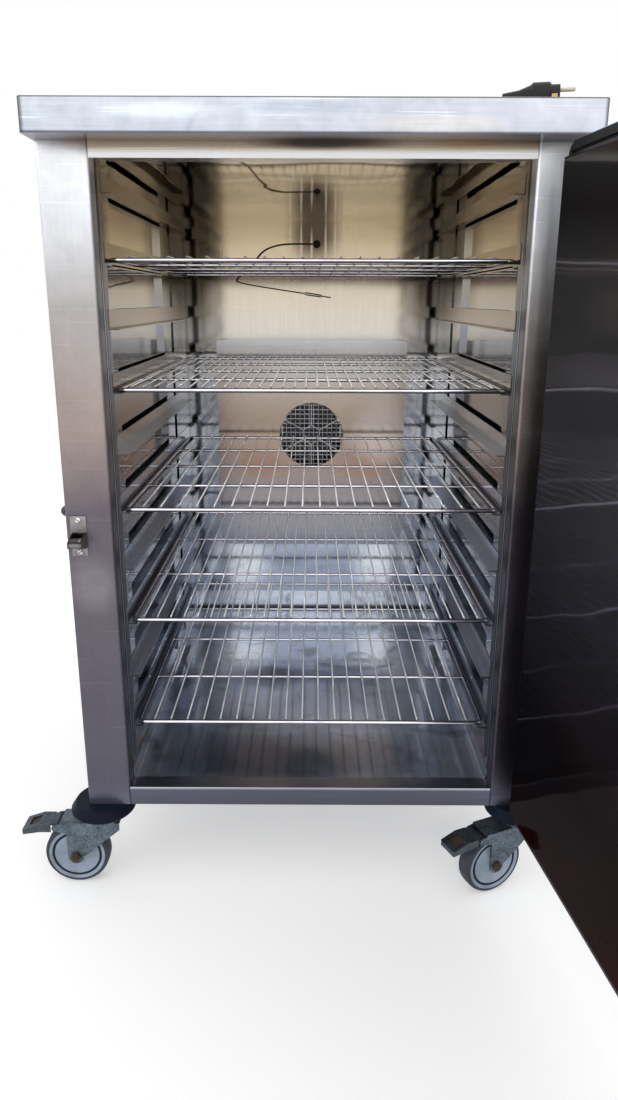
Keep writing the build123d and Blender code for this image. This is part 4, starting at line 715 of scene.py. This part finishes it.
# Worktop: a folded tray of heavier sheet turned over on the body, with rounded corners and a deep front edge.
# It is the most handled piece, wiped bright and covered in fine scratches, with dark lines along its folds.
top_tones = [
    (1.0730, (92, 96, 106)),
    (1.0745, (118, 122, 132)),
    (1.0760, (200, 206, 217)),
    (1.092, (208, 214, 224)),
    (1.1098, (210, 215, 225)),
    (1.1106, (84, 87, 94)),
    (1.1113, (96, 99, 106)),
    (1.1120, (186, 189, 194)),
]
low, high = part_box("worktop")
top_marks = [
    ((low.x, low.y, 1.092), (0.007, 0.02, 0.2), (70, 72, 78), 0.85),
    ((high.x, low.y, 1.092), (0.007, 0.02, 0.2), (70, 72, 78), 0.85),
    ((-0.20, low.y, 1.097), (0.09, 0.02, 0.012), (238, 245, 250), 0.60),
    ((-0.04, low.y, 1.101), (0.10, 0.02, 0.008), (186, 193, 208), 0.60),
    ((0.12, low.y, 1.084), (0.11, 0.02, 0.012), (240, 234, 228), 0.55),
]
top_steel = brushed_steel(
    "worktop_sheet", top_tones, "x", 0.30, cloud=0.24, lines=0.08, marks=0.30, wander=0.0006,
    patches=top_marks, smears=0.22,
)
dress(top_steel, "worktop")

# Casters: pressed, galvanised forks under rubber bumper discs, with grey wheels on bolts that have rusted,
# and a slotted brake pedal on each of the front two.
dress(moulded("bumper_rubber", (15, 24, 38), 0.50, relief=0.2, sheen=0.08), "bumpers")


def galvanised(name, dark, light, rust):
    zinc, tree, press, place = new_finish(name)
    press["Metallic"].default_value = 0.85
    spangle = add_node(tree, "TexVoronoi", {"Vector": place, "Scale": 430.0}).outputs["Color"]
    flake = add_node(tree, "SeparateColor", {0: spangle}).outputs[0]
    grime = noise(tree, place, 34.0, 6.0, Roughness=0.65)
    speckle = scaled(tree, flake, 0.26, grime)
    colour = two_tone(tree, speckle, dark, light, 0.38, 0.95)
    spot = noise(tree, place, 60.0, 4.0, Distortion=0.8)
    rusty = {"Value": spot, "From Min": 0.62, "From Max": 0.74, "To Max": 0.7}
    colour = laid_over(tree, add_node(tree, "MapRange", rusty).outputs[0], colour, tint(*rust))
    tree.links.new(colour, press["Base Color"])
    tree.links.new(scaled(tree, grime, 0.35, 0.28), press["Roughness"])
    textured(tree, press, speckle, 0.3, 0.0005)
    return zinc


fork_zinc = galvanised("galvanised_press", (50, 58, 66), (124, 138, 150), (76, 66, 58))
pedal_zinc = galvanised("pedal_zinc", (42, 46, 52), (98, 106, 116), (72, 58, 50))
corners = ("left_front", "right_front", "left_rear", "right_rear")
dress(fork_zinc, *["fork_" + corner for corner in corners])
dress(pedal_zinc, "pedal_left_front", "pedal_right_front")


def rusted(name):
    rust, tree, bolt, place = new_finish(name)
    scale = noise(tree, place, 420.0, 6.0, Roughness=0.7)
    tree.links.new(two_tone(tree, scale, (44, 32, 26), (98, 78, 64), 0.32, 0.70), bolt["Base Color"])
    tree.links.new(scaled(tree, scale, 0.3, 0.6), bolt["Roughness"])
    tree.links.new(scaled(tree, scale, 0.6, 0.1), bolt["Metallic"])
    textured(tree, bolt, scale, 0.8, 0.0006)
    return rust


def turned(name, profile, sides, finishes):
    # A closed profile of (radius, along, finish) turned about its own axis
    lathe = bmesh.new()
    angles = [2 * math.pi * k / sides for k in range(sides)]
    rings = []
    for radius, along, _ in profile:
        ring = [(radius * math.cos(a), radius * math.sin(a), along) for a in angles]
        rings.append([lathe.verts.new(spot) for spot in ring])
    for index in range(len(profile)):
        lower, upper = rings[index], rings[(index + 1) % len(profile)]
        for k in range(sides):
            face = lathe.faces.new((lower[k], lower[(k + 1) % sides], upper[(k + 1) % sides], upper[k]))
            face.material_index = profile[index][2]
            face.smooth = True
    bmesh.ops.recalc_face_normals(lathe, faces=lathe.faces)
    mesh = bpy.data.meshes.new(name)
    lathe.to_mesh(mesh)
    lathe.free()
    for finish in finishes:
        mesh.materials.append(finish)
    mesh.set_sharp_from_angle(angle=math.radians(38))
    piece = bpy.data.objects.new(name, mesh)
    scene.collection.objects.link(piece)
    return piece


hub_plastic = moulded("hub_plastic", (144, 157, 174), 0.42, patch=0.14)
tread_rubber = moulded("tread_rubber", (56, 61, 70), 0.62, relief=0.3, patch=0.20)
groove_dirt = moulded("groove_dirt", (44, 49, 58), 0.8)
axle_rust = rusted("rusted_bolt")
joints = {joint["name"]: joint for joint in frame["joints"]}
# Half of a wheel's section, each point a radius, a distance along the axle and a finish: 0 for the hub,
# 1 for the tread and 2 for the groove
wheel_half = [
    (0.00505, 0.0160, 0), (0.0120, 0.0160, 0), (0.0135, 0.0150, 0), (0.0320, 0.0123, 0),
    (0.0350, 0.0120, 2), (0.0362, 0.0100, 2), (0.0378, 0.0100, 2), (0.0390, 0.0120, 0),
    (0.0412, 0.0131, 0), (0.0436, 0.0136, 0), (0.0440, 0.0131, 1), (0.0452, 0.0139, 1),
    (0.0470, 0.0134, 1), (0.0485, 0.0122, 1), (0.0496, 0.0100, 1), (0.0500, 0.0060, 1),
]
bolt_head = [
    (0.0002, 0.0, 0), (0.0084, 0.0, 0), (0.0084, 0.0034, 0), (0.0072, 0.0044, 0),
    (0.0046, 0.0047, 0), (0.0042, 0.0058, 0), (0.0002, 0.0060, 0),
]
wheel_sides, bolt_sides, bolt_seat = 56, 6, 0.0196
tyre_finishes = (hub_plastic, tread_rubber, groove_dirt)
other_half = []
for index in reversed(range(len(wheel_half))):
    radius, along, _ = wheel_half[index]
    other_half.append((radius, -along, wheel_half[max(index - 1, 0)][2]))
for corner in corners:
    axle = joints["roll_" + corner]
    wheel = turned("tyre_and_hub_" + corner, wheel_half + other_half, wheel_sides, tyre_finishes)
    way = Vector(axle["axis"]).to_track_quat("Z", "Y").to_matrix().to_4x4()
    wheel.matrix_world = Matrix.Translation(axle["pos_m"]) @ way
    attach(wheel, "wheel_body_" + corner)
    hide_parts("wheel_" + corner)
    for side, letter in ((1, "_a"), (-1, "_b")):
        cap = turned("axle_bolt_" + corner + letter, bolt_head, bolt_sides, (axle_rust,))
        out = Vector(axle["axis"]) * side
        facing = out.to_track_quat("Z", "Y").to_matrix().to_4x4()
        cap.matrix_world = Matrix.Translation(Vector(axle["pos_m"]) + out * bolt_seat) @ facing
        for polygon in cap.data.polygons:
            polygon.use_smooth = False
        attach(cap, "caster_" + corner)

pedal_half = 0.0155
pedal_outline = [
    (0.0210, 0.0026), (0.0268, 0.0024), (0.0290, 0.0017), (0.0478, -0.0048),
    (0.0474, -0.0060), (0.0287, 0.0004), (0.0266, 0.0012), (0.0210, 0.0014),
]
for corner in ("left_front", "right_front"):
    pin = Vector(joints["brake_" + corner]["pos_m"])
    pin_way = Vector(joints["brake_" + corner]["axis"])
    out = pin - Vector(joints["swivel_" + corner]["pos_m"])
    out = Vector((out.x, out.y, 0)).normalized()
    plate = bmesh.new()
    sides = []
    for half in (-pedal_half, pedal_half):
        edge = [pin + out * u + Vector((0, 0, z)) + pin_way * half for u, z in pedal_outline]
        sides.append([plate.verts.new(spot) for spot in edge])
    plate.faces.new(sides[0])
    plate.faces.new(sides[1][::-1])
    for k in range(len(pedal_outline)):
        after = (k + 1) % len(pedal_outline)
        plate.faces.new((sides[0][k], sides[0][after], sides[1][after], sides[1][k]))
    bmesh.ops.recalc_face_normals(plate, faces=plate.faces)
    plate_mesh = bpy.data.meshes.new("pedal_plate_" + corner)
    plate.to_mesh(plate_mesh)
    plate.free()
    plate_mesh.materials.append(axle_rust)
    pedal_plate = bpy.data.objects.new("pedal_plate_" + corner, plate_mesh)
    scene.collection.objects.link(pedal_plate)
    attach(pedal_plate, "brake_" + corner)

# Strike: a bright plate held to the left post by two slotted screws, with a roller between its ears.
# The latch hook pulls down on the roller when the door is shut.
strike_steel = bright_wire(
    "strike_nickel", (92, 88, 90), (148, 144, 146), 0.11,
    dark_bands=((0.30, 0.75), (-0.25, -0.7)), band_tone=(50, 46, 48),
)
dress(strike_steel, "strike", "strike_roller")
low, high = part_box("strike")
plate_thick, screw_inset = 0.0020, 0.0060
plate_y = high.y - plate_thick
strike_x = (low.x + high.x) / 2
strike_screws = [
    ((strike_x, plate_y, high.z - screw_inset), (0, -1, 0), 0.9),
    ((strike_x, plate_y, low.z + screw_inset), (0, -1, 0), 2.2),
]
slotted_screws("strike_screws", strike_screws, 0.0042, "cabinet", screw_steel)

# Push handle: a bent bar on two round feet, fixed to the left side for wheeling the cabinet about.
# It is coated black, and the coating is smooth from use.
dress(moulded("coated_bar", (30, 30, 34), 0.38, relief=0.1), "push_handle")

# Door: an outer skin folded round a wool core, with a polished pan let into its inner face.
# The pan mirrors dark surroundings, so its tones are dark, and brown near its foot away from the hinges.
# A rubber gasket runs round it.
skin_tones = [(0.147, (140, 141, 149)), (0.600, (168, 168, 172)), (1.070, (194, 196, 201))]
dress(brushed_steel("door_sheet", skin_tones, "z", 0.28, cloud=0.15, lines=0.08, marks=0.2), "door_skin")
pan_face = [
    (0.182, (86, 27, 25)),
    (0.330, (66, 32, 32)),
    (0.420, (80, 74, 80)),
    (0.500, (86, 84, 92)),
    (0.600, (100, 100, 110)),
    (0.700, (122, 120, 127)),
    (0.920, (126, 123, 124)),
    (0.985, (84, 80, 78)),
    (1.047, (112, 110, 110)),
]
hinge_side = [((0.290, -0.170, 0.320), (0.2, 0.36, 0.16), (50, 49, 56), 0.95)]
door_pan_steel = brushed_steel(
    "door_pan_sheet", pan_face, "z", 0.07, cloud=0.14, lines=0.05, marks=0.06, relief=0.02, wave=0.003,
    metal=0.86, edge=0.1, patches=hinge_side, ragged=0.2,
)
dress(door_pan_steel, "door_pan")
dress(moulded("gasket_rubber", (16, 15, 16), 0.6), "door_gasket")

# Hinges and latch: die-cast and plated, two knuckle hinges on the right post and a lever latch on the door.
# Slotted screws hold the hinge leaves.
cast_tones = [(0.200, (128, 128, 132)), (1.000, (158, 158, 162))]
cast_metal = brushed_steel("plated_casting", cast_tones, "x", 0.20, cloud=0.18, lines=0.03)
dress(cast_metal, "hinge_leaves", "door_hinges", "latch_case")
dress(moulded("latch_grip", (34, 34, 38), 0.40), "latch_handle")
low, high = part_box("hinge_leaves")
leaf_thick, screw_in, screw_half_gap = 0.0040, 0.0058, 0.0085
lower_pair, upper_pair = low.z + 0.0150, high.z - 0.0410
leaf_x, leaf_y = high.x - screw_in, high.y - leaf_thick
leaf_screws = []
for z in (lower_pair, upper_pair):
    for step in (-screw_half_gap, screw_half_gap):
        leaf_screws.append(((leaf_x, leaf_y, z + step), (0, -1, 0), 0.4 + 30 * step))
slotted_screws("leaf_screws", leaf_screws, 0.0036, "cabinet", screw_steel)

# Mains cord: a black rubber lead from the gland up the back and over the worktop, wound into a tied coil,
# then forward to its plug near the front edge.
riser = [
    (0.13215, 0.73729, 0.955), (0.17615, 0.73729, 0.955), (0.20515, 0.73729, 0.977),
    (0.21615, 0.73729, 1.021), (0.2139, 0.73679, 1.0555), (0.21165, 0.73679, 1.1075),
    (0.20715, 0.70379, 1.142), (0.20265, 0.65979, 1.142), (0.19815, 0.61579, 1.1294),
    (0.18515, 0.57179, 1.1168), (0.18123, 0.53622, 1.11701), (0.17111, 0.50064, 1.11723),
    (0.15727, 0.46507, 1.11744), (0.14219, 0.4295, 1.11766), (0.12835, 0.39392, 1.11787),
    (0.11823, 0.35835, 1.11809), (0.11431, 0.32277, 1.1183), (0.11542, 0.27879, 1.1183),
]
# The coil winds inwards for just over two turns, climbs on itself and winds out again
coil_x, coil_y, coil_z = 0.175148, 0.269791, 1.1183
coil_turns, steps_per_turn = 4, 24
coil_radius, coil_pitch = 0.0595, 0.0095
turns_in, climb_from, climb_over = 2.25, 2, 0.5
coil = []
for step in range(1, coil_turns * steps_per_turn):
    turns = step / steps_per_turn
    angle = math.pi * (1 + 2 * turns)
    radius = coil_radius - coil_pitch * (turns_in - abs(turns - turns_in))
    climbed = min(max((turns - climb_from) / climb_over, 0), 1)
    coil.append((
        coil_x + radius * math.cos(angle),
        coil_y + radius * math.sin(angle),
        coil_z + coil_pitch * climbed ** 2 * (3 - 2 * climbed),
    ))
lead = [
    (0.12015, 0.2608, 1.1278), (0.11894, 0.21681, 1.1278), (0.11494, 0.17281, 1.1223),
    (0.10934, 0.12881, 1.1168), (0.10294, 0.08219, 1.1168), (0.10614, 0.03556, 1.1168),
    (0.13183, -0.03306, 1.12043), (0.16711, -0.05506, 1.1313), (0.21015, -0.06421, 1.1313),
]
route = riser + coil + lead
cord_thick = 0.009
flex = bpy.data.curves.new("mains_cord", "CURVE")
flex.dimensions = "3D"
flex.bevel_depth = cord_thick / 2
flex.bevel_resolution = 4
flex.resolution_u = 6
flex.use_fill_caps = True
strand = flex.splines.new("NURBS")
strand.points.add(len(route) - 1)
for knot, point in zip(strand.points, route):
    knot.co = (*point, 1.0)
strand.order_u = 3
strand.use_endpoint_u = True
flex.materials.append(moulded("cord_rubber", (20, 20, 22), 0.55))
cord = bpy.data.objects.new("mains_cord", flex)
scene.collection.objects.link(cord)
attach(cord, "cabinet")
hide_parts("cord_riser", "cord_coil", "cord_lead")
dress(moulded("tie_strap", (36, 36, 38), 0.6), "cord_tie")

# Plug: black rubber moulded in one with the lead, lying on the worktop.
# The earth clips at its sides and its pins are bare metal.
plug_rubber = moulded("plug_rubber", (14, 14, 16), 0.5)
tree = plug_rubber.node_tree
skin = tree.nodes["Principled BSDF"].inputs
place = add_node(tree, "TexCoord", {}).outputs["Object"]
plug_turn = math.radians(12)
pins_from, clips_from, clips_out = 0.0701, 0.0600, 0.0163
plug_way = Vector((math.cos(plug_turn), -math.sin(plug_turn), 0))
plug_side = Vector((-plug_way.y, plug_way.x, 0))
plug_root = Vector(lead[-1])
reach = add_node(tree, "VectorMath", {0: place, 1: plug_way}, operation="DOT_PRODUCT").outputs["Value"]
aside = add_node(tree, "VectorMath", {0: place, 1: plug_side}, operation="DOT_PRODUCT").outputs["Value"]
off = add_node(tree, "Math", {0: aside, 1: plug_side.dot(plug_root)}, operation="SUBTRACT").outputs[0]
off = add_node(tree, "Math", {0: off}, operation="ABSOLUTE").outputs[0]
root = plug_way.dot(plug_root)
pins = add_node(tree, "Math", {0: reach, 1: root + pins_from}, operation="GREATER_THAN").outputs[0]
nose = add_node(tree, "Math", {0: reach, 1: root + clips_from}, operation="GREATER_THAN").outputs[0]
proud = add_node(tree, "Math", {0: off, 1: clips_out}, operation="GREATER_THAN").outputs[0]
clips = add_node(tree, "Math", {0: nose, 1: proud}, operation="MULTIPLY").outputs[0]
black = skin["Base Color"].links[0].from_socket
brassy = laid_over(tree, clips, black, tint(196, 168, 104))
tree.links.new(laid_over(tree, pins, brassy, tint(190, 184, 168)), skin["Base Color"])
bare = add_node(tree, "Math", {0: pins, 1: clips}, operation="MAXIMUM").outputs[0]
tree.links.new(bare, skin["Metallic"])
dress(plug_rubber, "plug")
